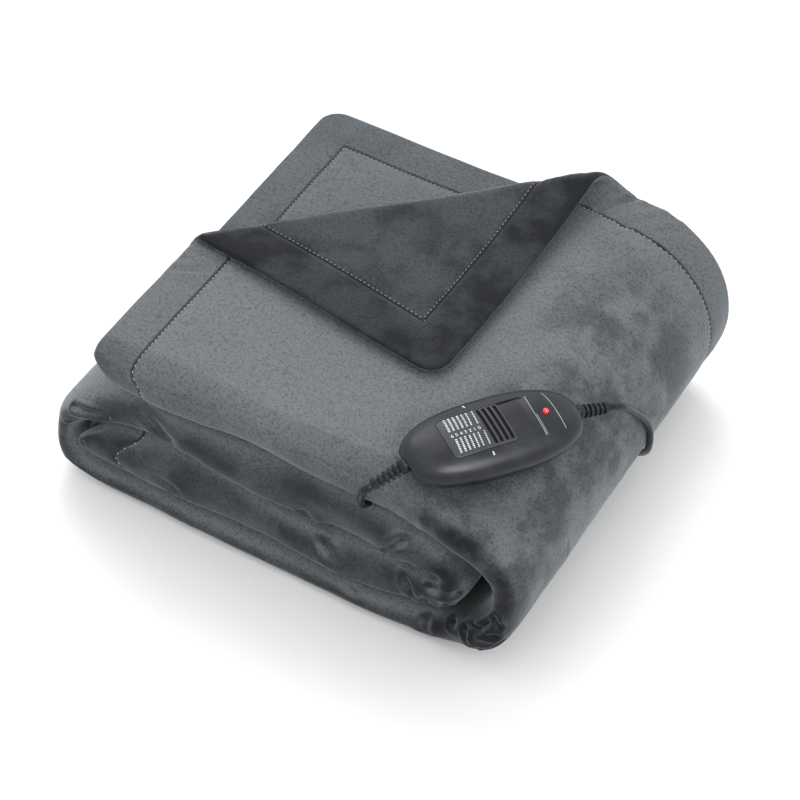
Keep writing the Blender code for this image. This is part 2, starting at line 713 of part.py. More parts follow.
# Strain reliefs at the handset's two ends, each pointing a little down
heater_boot_way = object_matrix.to_3x3() @ HEATER_BOOT_WAY
mains_boot_way = object_matrix.to_3x3() @ MAINS_BOOT_WAY
heater_boot_start = object_matrix @ Vector((-BOOT_SEAT, 0, BASE_HEIGHT)) + heater_boot_way * JOINT_GAP
mains_boot_start = object_matrix @ Vector((BOOT_SEAT, 0, BASE_HEIGHT)) + mains_boot_way * JOINT_GAP
profile = boot_profile(BOOT_LENGTH, BOOT_RADIUS, 0.0036, 5)
make_turned("heater_boot", profile, heater_boot_start, heater_boot_way, boot_rubber)
make_turned("mains_boot", profile, mains_boot_start, mains_boot_way, boot_rubber)

origin = Vector((ORIGIN_X, ORIGIN_Y, 0))
heater_start = heater_boot_start + heater_boot_way * (BOOT_LENGTH + LEAD_GAP) + origin
mains_start = mains_boot_start + mains_boot_way * (BOOT_LENGTH + LEAD_GAP) + origin

# The heater lead drops over the top panel's front fold and goes in between the panels.
make_cord("heater_lead", [
    heater_start,
    heater_start + heater_boot_way * 0.003,
    heater_start + heater_boot_way * 0.006,
    (0.2250, -0.0120, 0.1450),
    (0.2215, -0.0085, 0.1360),
    (0.2190, -0.0060, 0.1285),
    (0.2178, -0.0032, 0.1215),
    (0.2170, -0.0008, 0.1170),
    (0.2168, 0.0022, 0.1133),
    (0.2170, 0.0055, 0.1111),
    (0.2172, 0.0080, 0.1101),
], HEATER_LEAD_RADIUS, 0.0050)

# The mains lead falls down the roll's side, runs back along its foot and turns in behind it.
make_cord("mains_lead", [
    mains_start,
    mains_start + mains_boot_way * 0.004,
    (0.3283, 0.1482, 0.1335),
    (0.3299, 0.1528, 0.1293),
    (0.3310, 0.1585, 0.1232),
    (0.3329, 0.1684, 0.1102),
    (0.3349, 0.1772, 0.0980),
    (0.3366, 0.1832, 0.0865),
    (0.3378, 0.1858, 0.0750),
    (0.3372, 0.1880, 0.0630),
    (0.3344, 0.1920, 0.0510),
    (0.3284, 0.2003, 0.0368),
    (0.3203, 0.2090, 0.0238),
    (0.3108, 0.2180, 0.0126),
    (0.3020, 0.2290, 0.0052),
    (0.2988, 0.2440, 0.0028),
    (0.2980, 0.2620, 0.0028),
    (0.2980, 0.2900, 0.0028),
    (0.2955, 0.3150, 0.0028),
    (0.2860, 0.3340, 0.0028),
    (0.2700, 0.3455, 0.0028),
    (0.2500, 0.3490, 0.0032),
    (0.2235, 0.3500, 0.0042),
], MAINS_LEAD_RADIUS, 0.0090)
make_coil()
make_tie()
make_cord("plug_lead", [
    (0.1765, 0.3500, 0.0098),
    (0.1690, 0.3493, 0.0090),
    (0.1600, 0.3490, 0.0078),
    (0.1530, 0.3490, 0.0070),
    (0.1270 + PLUG_BOOT_LENGTH + JOINT_GAP + LEAD_GAP, 0.3490, PLUG_START.z),
], MAINS_LEAD_RADIUS, 0.0120)
make_plug()
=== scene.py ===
# Electric heated blanket, folded in four and rolled flat, with its handset and mains lead.
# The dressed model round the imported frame. Metres, in the frame's own axes.
import math

import bmesh
import bpy
from mathutils import Matrix, Vector, noise


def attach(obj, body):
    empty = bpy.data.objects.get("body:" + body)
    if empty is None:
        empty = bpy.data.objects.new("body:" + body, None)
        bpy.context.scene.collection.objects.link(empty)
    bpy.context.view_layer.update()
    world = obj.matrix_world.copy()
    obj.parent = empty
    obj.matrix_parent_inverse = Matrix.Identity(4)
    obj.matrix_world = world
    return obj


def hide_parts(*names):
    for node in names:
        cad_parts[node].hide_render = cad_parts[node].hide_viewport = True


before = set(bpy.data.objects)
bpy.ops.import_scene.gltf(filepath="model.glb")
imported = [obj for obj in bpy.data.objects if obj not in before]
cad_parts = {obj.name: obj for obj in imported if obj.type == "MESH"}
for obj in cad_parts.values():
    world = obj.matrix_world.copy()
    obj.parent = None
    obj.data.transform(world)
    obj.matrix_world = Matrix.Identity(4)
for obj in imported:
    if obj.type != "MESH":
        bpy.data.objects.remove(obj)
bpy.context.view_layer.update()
scene = bpy.context.scene
scene.view_settings.view_transform = "Standard"

# Folds and routes are laid out from the roll's own corner: x runs along the roll, y across it.
rollCorner = Vector((0.1447, 0.1604, 0))

viewpoint = {
    "target": (0.162153, 0.141248, 0.0555),
    "distance": 1.78238,
    "turn": math.radians(30.486),
    "pitch": math.radians(47.12),
    "lens": 112.12,
}


def makeCamera():
    turn, pitch = viewpoint["turn"], viewpoint["pitch"]
    flat = math.cos(pitch)
    look = Vector((-math.sin(turn) * flat, math.cos(turn) * flat, -math.sin(pitch)))
    data = bpy.data.cameras.new("photoView")
    data.lens = viewpoint["lens"]
    data.sensor_width = 36
    camera = bpy.data.objects.new("photoView", data)
    camera.location = Vector(viewpoint["target"]) - rollCorner - look * viewpoint["distance"]
    camera.rotation_euler = look.to_track_quat("-Z", "Y").to_euler()
    scene.collection.objects.link(camera)
    scene.camera = camera


makeCamera()
print("camera placed")


def addPiece(name, data, slot, *replaced, body="blanket"):
    item = bpy.data.objects.new(name, data)
    scene.collection.objects.link(item)
    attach(item, body)
    if replaced:
        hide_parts(*replaced)
    return item


def addMesh(name, bm, slot, *replaced, body="blanket", sharp=40):
    mesh = bpy.data.meshes.new(name)
    bm.to_mesh(mesh)
    bm.free()
    mesh.shade_smooth()
    mesh.set_sharp_from_angle(angle=math.radians(sharp))
    return addPiece(name, mesh, slot, *replaced, body=body)


def runningTotal(lengths):
    starts = [0.0]
    for length in lengths:
        starts.append(starts[-1] + length)
    return starts


def findSection(starts, value):
    # the section that holds value, and how far along it value lies
    last = len(starts) - 2
    index = 0
    while index < last and value > starts[index + 1] + 1e-9:
        index += 1
    share = (value - starts[index]) / (starts[index + 1] - starts[index])
    return index, min(max(share, 0.0), 1.0)


def smoothStep(low, high, value):
    share = min(max((value - low) / (high - low), 0.0), 1.0)
    return share * share * (3 - 2 * share)


def fall(value, width):
    return math.exp(-(value / width) ** 2)


# The handset's own axes: u along it, v across it, w up from its underside.
handset = {
    "centre": Vector((0.2745, 0.0640, 0.1415)),
    "heading": math.radians(58),
    "lean": (math.sin(math.radians(13)), math.sin(math.radians(2))),
    "length": 0.134,
    "width": 0.058,
    "baseHeight": 0.0120,
    "coverHeight": 0.0130,
    "partingGap": 0.0003,
    "bootSeat": 0.0645,
    "heaterBootWay": Vector((-0.92, -0.07, -0.40)).normalized(),
    "mainsBootWay": Vector((1.06, -0.09, -0.10)).normalized(),
    "bed": 0.0042,
}


def handsetAxes():
    leanX, leanY = handset["lean"]
    up = Vector((leanX, leanY, math.sqrt(1 - leanX ** 2 - leanY ** 2)))
    heading = Vector((math.cos(handset["heading"]), math.sin(handset["heading"]), 0))
    along = (heading - up * heading.dot(up)).normalized()
    axes = Matrix((along, up.cross(along), up)).transposed().to_4x4()
    axes.translation = handset["centre"]
    return axes


handsetInRoll = handsetAxes()
rollToHandset = handsetInRoll.inverted()
handsetPlace = Matrix.Translation(-rollCorner) @ handsetInRoll
handsetTurn = handsetPlace.to_3x3()
jointGap, leadGap = 0.0003, 0.00075


# Cords: the leads' points are those of the solids, in the roll's own axes.
cords = {
    "radius": 0.0025,
    "bootLength": 0.0260,
    "bootRadius": 0.0050,
    "bootTip": 0.0036,
    "coilCentre": Vector((0.2000, 0.3880)),
    "turnRadii": (0.0390, 0.0330, 0.0270),
    "lowerLayer": 0.0043,
    "upperLayer": 0.0101,
    "pointsPerTurn": 16,
    "plugStart": Vector((0.1270, 0.3490, 0.00695)),
    "plugBootLength": 0.0200,
    "plugBootTip": 0.0034,
}

heaterBootWay = handsetTurn @ handset["heaterBootWay"]
mainsBootWay = handsetTurn @ handset["mainsBootWay"]
seat, seatHeight = handset["bootSeat"], handset["baseHeight"]
heaterBootStart = handsetPlace @ Vector((-seat, 0, seatHeight)) + heaterBootWay * jointGap
mainsBootStart = handsetPlace @ Vector((seat, 0, seatHeight)) + mainsBootWay * jointGap
heaterStart = heaterBootStart + heaterBootWay * (cords["bootLength"] + leadGap) + rollCorner
mainsStart = mainsBootStart + mainsBootWay * (cords["bootLength"] + leadGap) + rollCorner

# over the top panel's front fold and in between the panels
heaterRoute = [
    heaterStart, heaterStart + heaterBootWay * 0.003, heaterStart + heaterBootWay * 0.006,
    (0.2250, -0.0120, 0.1450), (0.2215, -0.0085, 0.1360), (0.2190, -0.0060, 0.1285),
    (0.2178, -0.0032, 0.1215), (0.2170, -0.0008, 0.1170), (0.2168, 0.0022, 0.1133),
    (0.2170, 0.0055, 0.1111), (0.2172, 0.0080, 0.1101),
]

# down the roll's side, back along its foot and in behind it to the coil
mainsRoute = [
    mainsStart, mainsStart + mainsBootWay * 0.004,
    (0.3283, 0.1482, 0.1335), (0.3299, 0.1528, 0.1293), (0.3310, 0.1585, 0.1232),
    (0.3329, 0.1684, 0.1102), (0.3349, 0.1772, 0.0980), (0.3366, 0.1832, 0.0865),
    (0.3378, 0.1858, 0.0750), (0.3372, 0.1880, 0.0630), (0.3344, 0.1920, 0.0510),
    (0.3284, 0.2003, 0.0368), (0.3203, 0.2090, 0.0238), (0.3108, 0.2180, 0.0126),
    (0.3020, 0.2290, 0.0052), (0.2988, 0.2440, 0.0028), (0.2980, 0.2620, 0.0028),
    (0.2980, 0.2900, 0.0028), (0.2955, 0.3150, 0.0028), (0.2860, 0.3340, 0.0028),
    (0.2700, 0.3455, 0.0028), (0.2500, 0.3490, 0.0032), (0.2235, 0.3500, 0.0042),
    (0.2120, 0.3492, 0.0043),
]
plugRoute = [
    (0.1900, 0.3448, 0.0102), (0.1765, 0.3480, 0.0098), (0.1690, 0.3489, 0.0090),
    (0.1600, 0.3490, 0.0078), (0.1530, 0.3490, 0.0070), (0.14805, 0.3490, 0.00695),
]


def smoothRoute(points, spacing):
    # points at an even spacing on a smooth curve through the route's own points
    points = [Vector(point) for point in points]
    padded = [2 * points[0] - points[1], *points, 2 * points[-1] - points[-2]]
    fine = []
    for index in range(1, len(padded) - 2):
        before, start, end, after = padded[index - 1:index + 3]
        for step in range(24):
            t = step / 24
            fine.append(0.5 * (
                2 * start + (end - before) * t + (2 * before - 5 * start + 4 * end - after) * t ** 2
                + (3 * start - before - 3 * end + after) * t ** 3
            ))
    fine.append(points[-1])
    lengths = runningTotal([(b - a).length for a, b in zip(fine, fine[1:])])
    count = max(2, round(lengths[-1] / spacing))
    route = []
    for step in range(count + 1):
        index, share = findSection(lengths, lengths[-1] * step / count)
        route.append(fine[index].lerp(fine[index + 1], share))
    return route


def coilRoute():
    # three turns inwards on the surface, then three outwards on top of them, stepping sideways at
    # one place in each turn
    points = []
    turns = 6
    count = turns * cords["pointsPerTurn"]
    outer, middle, inner = cords["turnRadii"]
    step = outer - middle
    for index in range(count + 1):
        t = index / cords["pointsPerTurn"]
        turn = min(int(t), turns - 1)
        jog = smoothStep(0.76, 1.0, t - turn)
        if t < 3:
            radius = [outer, middle, inner][turn] - (step * jog if turn < 2 else 0)
            rise = jog if turn == 2 else 0.0
        else:
            radius = [inner, middle, outer][turn - 3] + step * jog
            rise = 1.0
        height = cords["lowerLayer"] + (cords["upperLayer"] - cords["lowerLayer"]) * rise
        angle = -math.pi / 2 - 2 * math.pi * t
        x, y = cords["coilCentre"]
        points.append(Vector((x + radius * math.cos(angle), y + radius * math.sin(angle), height)))
    return points


def makeCord(name, route, radius, *replaced):
    curve = bpy.data.curves.new(name, "CURVE")
    curve.dimensions = "3D"
    curve.bevel_depth = 1.0
    curve.bevel_resolution = 5
    curve.resolution_u = 5
    curve.use_fill_caps = True
    spline = curve.splines.new("BEZIER")
    spline.bezier_points.add(len(route) - 1)
    for point, place in zip(spline.bezier_points, route):
        point.co = place - rollCorner
        point.radius = radius    # the curve's own box takes in this radius
        point.handle_left_type = "AUTO"
        point.handle_right_type = "AUTO"
    length = sum((b - a).length for a, b in zip(route, route[1:]))
    return addPiece(name, curve, "cord_sleeve", *replaced), length


heaterPoints = smoothRoute(heaterRoute, 0.0045)
heaterLead, heaterLength = makeCord(
    "lead_into_cloth", heaterPoints, cords["radius"], "heater_lead"
)
mainsPoints = [
    *smoothRoute(mainsRoute, 0.0115), *coilRoute(), *smoothRoute(plugRoute, 0.0080),
]
mainsLead, mainsLength = makeCord(
    "mains_cable", mainsPoints, cords["radius"], "mains_lead", "mains_coil", "plug_lead"
)
print(f"leads laid, {heaterLength:.3f} m and {mainsLength:.3f} m")


# The cloth, as it was folded and rolled
cloth = {
    "thickness": 0.0070,
    "pitch": 0.00935,            # one sheet of the folded cloth to the next
    "innerEnd": -0.0200,         # free end of the first panel, inside the left turn
    "innerEndRound": 0.0200,
    "tongue": 0.2590,            # the three turns' centres
    "leftTurn": 0.0130,
    "rightTurn": 0.2609,
    "topEnd": 0.0000,            # free end of the top sheet, and of the sheets below it
    "underEnd": 0.0095,
    "backFold": 0.3050,
    "secondHem": 0.3080,
    "sideHem": 0.3200,           # the outer sheet's hem, up to the right turn and along the top
    "turnHem": 0.3270,
    "topHem": 0.3525,
    "hemBand": 0.0330,           # from the cloth's edge to its line of stitches
    "edgeRound": 0.0042,
    "cornerRound": 0.0170,
}
panelPitch = 4 * cloth["pitch"]
halfPitch = panelPitch / 2
frontFold = 1.5 * cloth["pitch"] + cloth["thickness"] / 2
innerFold = frontFold + 0.004
underside = halfPitch - frontFold

roll = [
    {"height": 1.5, "from": cloth["innerEnd"], "to": cloth["tongue"], "steps": 30},
    {"centre": cloth["tongue"], "height": 2.0, "radius": 0.5, "start": -90, "squeeze": 0.72,
     "steps": 14},
    {"height": 2.5, "from": cloth["tongue"], "to": cloth["leftTurn"], "steps": 34},
    {"centre": cloth["leftTurn"], "height": 1.5, "radius": 1.0, "start": 90, "squeeze": 0.50,
     "steps": 26},
    {"height": 0.5, "from": cloth["leftTurn"], "to": cloth["rightTurn"], "steps": 34},
    {"centre": cloth["rightTurn"], "height": 2.0, "radius": 1.5, "start": -90, "squeeze": 0.72,
     "steps": 38},
    {"height": 3.5, "from": cloth["rightTurn"], "to": cloth["topEnd"], "steps": 54},
]
firstPanel, rightTurnPanel, topPanel = 0, 5, 6

foldLength = math.pi * cloth["pitch"] / 2
strip = [
    {"length": cloth["turnHem"] - frontFold, "steps": 54},
    {"length": 3 * foldLength, "steps": 18},
    {"length": cloth["backFold"] - frontFold, "steps": 8},
    {"length": foldLength, "steps": 5},
    {"length": cloth["backFold"] - innerFold, "steps": 8},
    {"length": foldLength, "steps": 6},
    {"length": cloth["secondHem"] - innerFold, "steps": 26},
]

corner = {
    "start": Vector((0.0120, 0.1275)),
    "end": Vector((0.2350, 0.3085)),
    "radiusStart": 0.0048,
    "radiusEnd": 0.0128,
    "stretch": 1.02,
    "skew": 0.04,
    "closing": 0.05,             # over this length past the bend the two sheets come together
}
cornerLine = (corner["end"] - corner["start"]).normalized()
cornerAway = Vector((-cornerLine.y, cornerLine.x))
cornerLength = (corner["end"] - corner["start"]).length

settling = {
    "lowestSink": 0.0157,
    "tongueSink": 0.0127,
    "leftSag": 0.14,
    "leftSpread": 0.0050,
    "sagStart": 0.037,
    "sagRun": 0.075,
    "cornerDroop": 0.0150,       # of the top panel's near right corner
    "droopPlace": 0.284,
    "droopWidth": 0.038,
    "frontReach": 0.07,
    "frontWave": 0.0022,
    "footBulge": 0.0025,
    "cornerBulge": 0.0080,
    "topWave": 0.0010,
    "stillBelow": 0.006,         # what lies on the surface stays flat
}


def sectionLength(section):
    if "start" not in section:
        return abs(section["to"] - section["from"])
    upright = section["radius"] * panelPitch
    return math.pi * (upright + (1 - section["squeeze"]) * halfPitch / 2)


rollStarts = runningTotal([sectionLength(section) for section in roll])
stripStarts = runningTotal([section["length"] for section in strip])
clothLength, clothWidth = rollStarts[-1], stripStarts[-1]


def panelEnds(index, offset):
    start, end = roll[index]["from"], roll[index]["to"]
    if index == firstPanel:
        start += cloth["innerEndRound"] * min((offset / (1.5 * cloth["pitch"])) ** 2, 1.0)
    if index == topPanel:
        below = min(max(1.5 - offset / cloth["pitch"] - 0.4, 0.0), 1.0)
        end += (cloth["underEnd"] - cloth["topEnd"]) * below
    return start, end


def alongRoll(a, offset):
    # the panel's middle (x, z), its outward direction and the sheets' squeeze
    index, share = findSection(rollStarts, a)
    section = roll[index]
    if "start" not in section:
        start, end = panelEnds(index, offset)
        up = -1.0 if end > start else 1.0
        return start + (end - start) * share, section["height"] * panelPitch, 0.0, up, 1.0
    angle = math.radians(section["start"] + 180 * share)
    upright = section["radius"] * panelPitch
    reach = upright + (1 - section["squeeze"]) * halfPitch
    x = section["centre"] + reach * math.cos(angle)
    z = section["height"] * panelPitch + upright * math.sin(angle)
    out = Vector((math.cos(angle) / reach, math.sin(angle) / upright)).normalized()
    squeeze = 1 - (1 - section["squeeze"]) * math.sin(math.pi * share) ** 2
    return x, z, out.x, out.y, squeeze


def outerHem(a):
    index, share = findSection(rollStarts, a)
    if index == topPanel:
        return cloth["turnHem"] + (cloth["topHem"] - cloth["turnHem"]) * share
    if index == rightTurnPanel:
        rise = cloth["turnHem"] - cloth["sideHem"]
        return cloth["sideHem"] + rise * smoothStep(0.3, 1.0, share)
    return cloth["sideHem"]


def acrossStrip(b, hem):
    # the cloth's middle (y, offset in the panel) and its outward direction there
    pitch = cloth["pitch"]
    index, share = findSection(stripStarts, b)
    if index in (0, 2, 4, 6):
        start, end = {
            0: (hem, frontFold),
            2: (frontFold, cloth["backFold"]),
            4: (cloth["backFold"], innerFold),
            6: (innerFold, cloth["secondHem"]),
        }[index]
        level = {0: 1.5, 2: -1.5, 4: -0.5, 6: 0.5}[index]
        return start + (end - start) * share, level * pitch, 0.0, 1.0 if end < start else -1.0
    turn = math.pi * share
    if index == 1:
        outY, outOffset = -math.sin(turn), math.cos(turn)
        return frontFold + 1.5 * pitch * outY, 1.5 * pitch * outOffset, outY, outOffset
    if index == 3:
        outY, outOffset = math.sin(turn), -math.cos(turn)
        return cloth["backFold"] + pitch / 2 * outY, pitch / 2 * outOffset - pitch, outY, outOffset
    outY, outOffset = -math.sin(turn), -math.cos(turn)
    return innerFold + pitch / 2 * outY, pitch / 2 * outOffset, -outY, -outOffset


def cornerRadius(along):
    share = min(max(along / cornerLength, 0.0), 1.0)
    return corner["radiusStart"] + (corner["radiusEnd"] - corner["radiusStart"]) * share


def turnCorner(x, y, height):
    # the top sheet's corner past the fold line is turned back over the sheet
    offset = Vector((x, y)) - corner["start"]
    along = offset.dot(cornerLine)
    past = offset.dot(cornerAway)
    if past <= 0:
        return x, y, height
    radius = cornerRadius(along)
    if past < math.pi * radius:
        turn = past / radius
        away = (radius - height) * math.sin(turn)
        lift = radius - (radius - height) * math.cos(turn)
    else:
        beyond = past - math.pi * radius
        still = math.exp(-beyond / corner["closing"])
        settled = corner["radiusStart"] + (radius - corner["radiusStart"]) * still
        away = -beyond * corner["stretch"]
        lift = 2 * settled - height
        along += corner["skew"] * beyond
    point = corner["start"] + cornerLine * along + cornerAway * away
    return point.x, point.y, lift


def sunkHeight(x, z):
    fade = 1 - smoothStep(0.225, 0.295, x)
    low = settling["lowestSink"] * fade
    middle = settling["tongueSink"] * smoothStep(0.03, 0.165, x) * fade
    levels = [0.0, *(count * panelPitch - underside for count in (1, 2, 3))]
    sunk = [0.0, levels[1] - low, levels[2] - middle, levels[3]]
    if z >= levels[3]:
        return z
    index, share = findSection(levels, z)
    return sunk[index] + (sunk[index + 1] - sunk[index]) * share


def handsetBed(x, y):
    place = rollToHandset @ Vector((x, y, handset["centre"].z))
    along = place.x / (0.52 * handset["length"])
    across = place.y / (0.75 * handset["width"])
    return handset["bed"] * max(0.0, 1 - along ** 2) * max(0.0, 1 - across ** 2)


def settle(x, y, z, inTopPanel):
    z = sunkHeight(x, z - underside)
    front = fall(max(y, 0.0), settling["frontReach"])
    if not inTopPanel:
        sag = smoothStep(0.0, 1.0, (settling["sagStart"] - x) / settling["sagRun"])
        x -= settling["leftSpread"] * sag * (1 - z / (3 * panelPitch))
        z *= 1 - settling["leftSag"] * sag
    overTongue = smoothStep(1.5 * panelPitch, 3.4 * panelPitch, z)
    droop = fall(x - settling["droopPlace"], settling["droopWidth"])
    z -= settling["cornerDroop"] * front * overTongue * droop
    z -= handsetBed(x, y) * smoothStep(2.2 * panelPitch, 3.8 * panelPitch, z)
    raised = min(z / (4 * panelPitch), 1.0)
    y += settling["frontWave"] * math.sin(47 * x + 70 * z) * front * min(4 * raised, 1.0)
    y -= settling["footBulge"] * fall(x - 0.17, 0.09) * front * (1 - smoothStep(0.01, 0.05, z))
    y -= settling["cornerBulge"] * fall(x - 0.315, 0.035) * front * fall(z - 0.035, 0.03)
    z += settling["topWave"] * math.sin(31 * x + 1.0) * math.sin(26 * y + 0.6) * raised
    return Vector((x, y, z))


def fold(a, b, height):
    # the flat cloth's point (a along the roll, b across), at a height above its middle surface
    panel = findSection(rollStarts, a)[0]
    sheet = findSection(stripStarts, b)[0]
    y, offset, outY, outOffset = acrossStrip(b, outerHem(a))
    y += outY * height
    offset += outOffset * height
    x, z, outX, outZ, squeeze = alongRoll(a, offset)
    if panel == topPanel and sheet == 0:
        x, y, lift = turnCorner(x, y, height)
        offset = 1.5 * cloth["pitch"] + lift
    offset *= squeeze
    return settle(x + outX * offset, y, z + outZ * offset, panel == topPanel)


# Creases: where each one runs from and to on the settled cloth, its half width and its depth
creases = [
    # the top sheet's hem band, gathered where the corner's fold starts
    ((0.0050, 0.1345, 0.150), (0.0330, 0.1330, 0.150), 0.0022, 0.0034),
    ((0.0060, 0.1165, 0.150), (0.0330, 0.1200, 0.150), 0.0026, 0.0036),
    ((0.0050, 0.0945, 0.150), (0.0290, 0.1060, 0.150), 0.0028, 0.0026),
    # behind the corner fold's upper end
    ((0.2150, 0.3050, 0.147), (0.2380, 0.3330, 0.147), 0.0034, 0.0040),
    ((0.2340, 0.2990, 0.147), (0.2520, 0.3260, 0.147), 0.0026, 0.0034),
    ((0.2560, 0.2950, 0.145), (0.2820, 0.3240, 0.140), 0.0034, 0.0036),
    ((0.2760, 0.2850, 0.140), (0.3000, 0.3050, 0.130), 0.0040, 0.0024),
    # light dents on the top
    ((0.1740, 0.0500, 0.149), (0.1990, 0.0560, 0.149), 0.0030, 0.0011),
    ((0.1850, 0.0040, 0.149), (0.1970, 0.0230, 0.149), 0.0040, 0.0016),
    ((0.0690, 0.0040, 0.149), (0.0880, 0.0085, 0.149), 0.0030, 0.0015),
    ((0.2225, 0.0600, 0.149), (0.2240, 0.0340, 0.149), 0.0040, 0.0011),
    # the left turn's lips
    ((-0.0200, 0.000, 0.0800), (0.0080, 0.000, 0.0845), 0.0026, 0.0046),
    ((-0.0280, 0.000, 0.0590), (-0.0130, 0.000, 0.0650), 0.0020, 0.0036),
    ((-0.0330, 0.000, 0.0460), (-0.0180, 0.000, 0.0440), 0.0020, 0.0030),
    # along the front folds
    ((0.0380, 0.000, 0.1060), (0.0600, 0.000, 0.0920), 0.0050, 0.0034),
    ((0.2330, 0.000, 0.0790), (0.2550, 0.000, 0.1060), 0.0026, 0.0045),
    ((0.1680, 0.000, 0.0750), (0.1900, 0.000, 0.0430), 0.0034, 0.0052),
    ((0.2370, 0.000, 0.0720), (0.2550, 0.000, 0.0410), 0.0030, 0.0050),
    ((0.2600, 0.000, 0.0760), (0.2680, 0.000, 0.0700), 0.0020, 0.0026),
    ((0.2670, 0.000, 0.0600), (0.2920, 0.000, 0.0680), 0.0022, 0.0030),
    ((0.2640, 0.000, 0.0450), (0.2642, 0.000, 0.0140), 0.0036, 0.0044),
    ((0.2790, 0.000, 0.0520), (0.2860, 0.000, 0.0330), 0.0030, 0.0050),
    ((0.0500, 0.000, 0.0460), (0.0630, 0.000, 0.0400), 0.0030, 0.0024),
    ((0.1960, 0.000, 0.0250), (0.2080, 0.000, 0.0165), 0.0034, 0.0020),
    # the crumpled lower corner at the right
    ((0.2930, -0.004, 0.0520), (0.3050, -0.006, 0.0260), 0.0024, 0.0042),
    ((0.2990, -0.004, 0.0470), (0.3230, -0.006, 0.0490), 0.0020, 0.0036),
    ((0.3050, -0.006, 0.0410), (0.3190, -0.004, 0.0650), 0.0022, 0.0034),
    ((0.3130, -0.004, 0.0710), (0.3230, -0.004, 0.0580), 0.0020, 0.0030),
    ((0.3080, -0.006, 0.0300), (0.3260, 0.000, 0.0400), 0.0022, 0.0034),
    ((0.3150, -0.006, 0.0220), (0.3330, 0.010, 0.0260), 0.0024, 0.0030),
    # down the right turn
    ((0.3380, 0.0655, 0.0960), (0.3330, 0.0740, 0.0380), 0.0018, 0.0022),
]
creaseLines = []
for start, end, width, depth in creases:
    start, end = Vector(start), Vector(end)
    creaseLines.append((start, (end - start), (end - start).length_squared, width, depth))
creaseShape = {
    "farthest": 0.06, "widths": 5, "endDepth": 0.35, "ridge": 0.32, "ridgeAway": 2.1,
    "deepest": 0.0056, "refined": 3.2,
}


def besideCrease(offset, run, squared):
    # how far along the crease this place lies, and how far from it
    share = min(max(offset.dot(run) / squared, 0.0), 1.0)
    return share, (offset - run * share).length


def creaseDepth(point):
    # how far the outer face of the cloth is pulled in here, and how much a ridge beside it lifts
    depth = 0.0
    for start, run, squared, width, most in creaseLines:
        offset = point - start
        if max(abs(part) for part in offset) > creaseShape["farthest"]:
            continue
        share, away = besideCrease(offset, run, squared)
        if away > creaseShape["widths"] * width:
            continue
        bend = math.sin(math.pi * (0.12 + 0.76 * share))
        taper = creaseShape["endDepth"] + (1 - creaseShape["endDepth"]) * bend
        ridge = creaseShape["ridge"] * fall(away - creaseShape["ridgeAway"] * width, width)
        depth += most * taper * (fall(away, width) - ridge)
    return min(depth, creaseShape["deepest"])


def edgeDistance(a, b):
    return min(a, clothLength - a, b, clothWidth - b)


# The cloth is drawn in along its stitches and puffs up on either side of them
seam = {
    "depth": 0.0019, "width": 0.0016, "thinnest": 0.14,
    "bandPuff": 0.0007, "bandMiddle": 0.0165, "bandWidth": 0.0100,
    "innerPuff": 0.0004, "innerMiddle": 0.010, "innerWidth": 0.008,
}

# Small unevenness: how often it repeats, its seed and its height
unevenness = {"broad": (11, 3.7, 0.0008), "fine": (34, 9.1, 0.0004), "outer": (75, 1.3, 0.0004)}


def uneven(kind, a, b):
    rate, seed, height = unevenness[kind]
    return height * noise.noise(Vector((a * rate, b * rate, seed)))


def clothHeight(a, b, side):
    # how far this face lies from the cloth's middle: rounded at the edges, drawn in at the stitches
    inside = edgeDistance(a, b)
    rounded = min(max(inside / cloth["edgeRound"], 0.0), 1.0)
    share = max(math.sqrt(1 - (1 - rounded) ** 2), seam["thinnest"])
    fromStitches = inside - cloth["hemBand"]
    height = cloth["thickness"] / 2 * share
    height -= seam["depth"] * math.exp(-abs(fromStitches) / seam["width"])
    height += seam["bandPuff"] * fall(fromStitches + seam["bandMiddle"], seam["bandWidth"])
    height += seam["innerPuff"] * fall(fromStitches - seam["innerMiddle"], seam["innerWidth"])
    return side * height


def roundCorner(a, b):
    # the cloth's four corners are cut round
    size = cloth["cornerRound"]
    fromA, fromB = min(a, clothLength - a), min(b, clothWidth - b)
    if fromA >= size or fromB >= size:
        return a, b
    p, q = (size - fromA) / size, (size - fromB) / size
    length = math.hypot(p, q)
    if length < 1e-9:
        return a, b
    k = max(p, q) / length
    fromA, fromB = size - size * p * k, size - size * q * k
    return (
        fromA if a < clothLength / 2 else clothLength - fromA,
        fromB if b < clothWidth / 2 else clothWidth - fromB,
    )


def drape(a, b, side):
    height = clothHeight(a, b, side)
    a, b = roundCorner(a, b)
    sheet = findSection(stripStarts, b)[0]
    shift = 0.0
    if sheet in (0, 1, 6) or edgeDistance(a, b) < 0.05:
        point = fold(a, b, height)
        shift = uneven("broad", a, b) + uneven("fine", a, b)
        if side > 0:
            shift += uneven("outer", a, b) - creaseDepth(point)
        if point.z < settling["stillBelow"]:
            shift = 0.0
    place = fold(a, b, height + shift)
    place.z = max(place.z, 0.0)
    return place


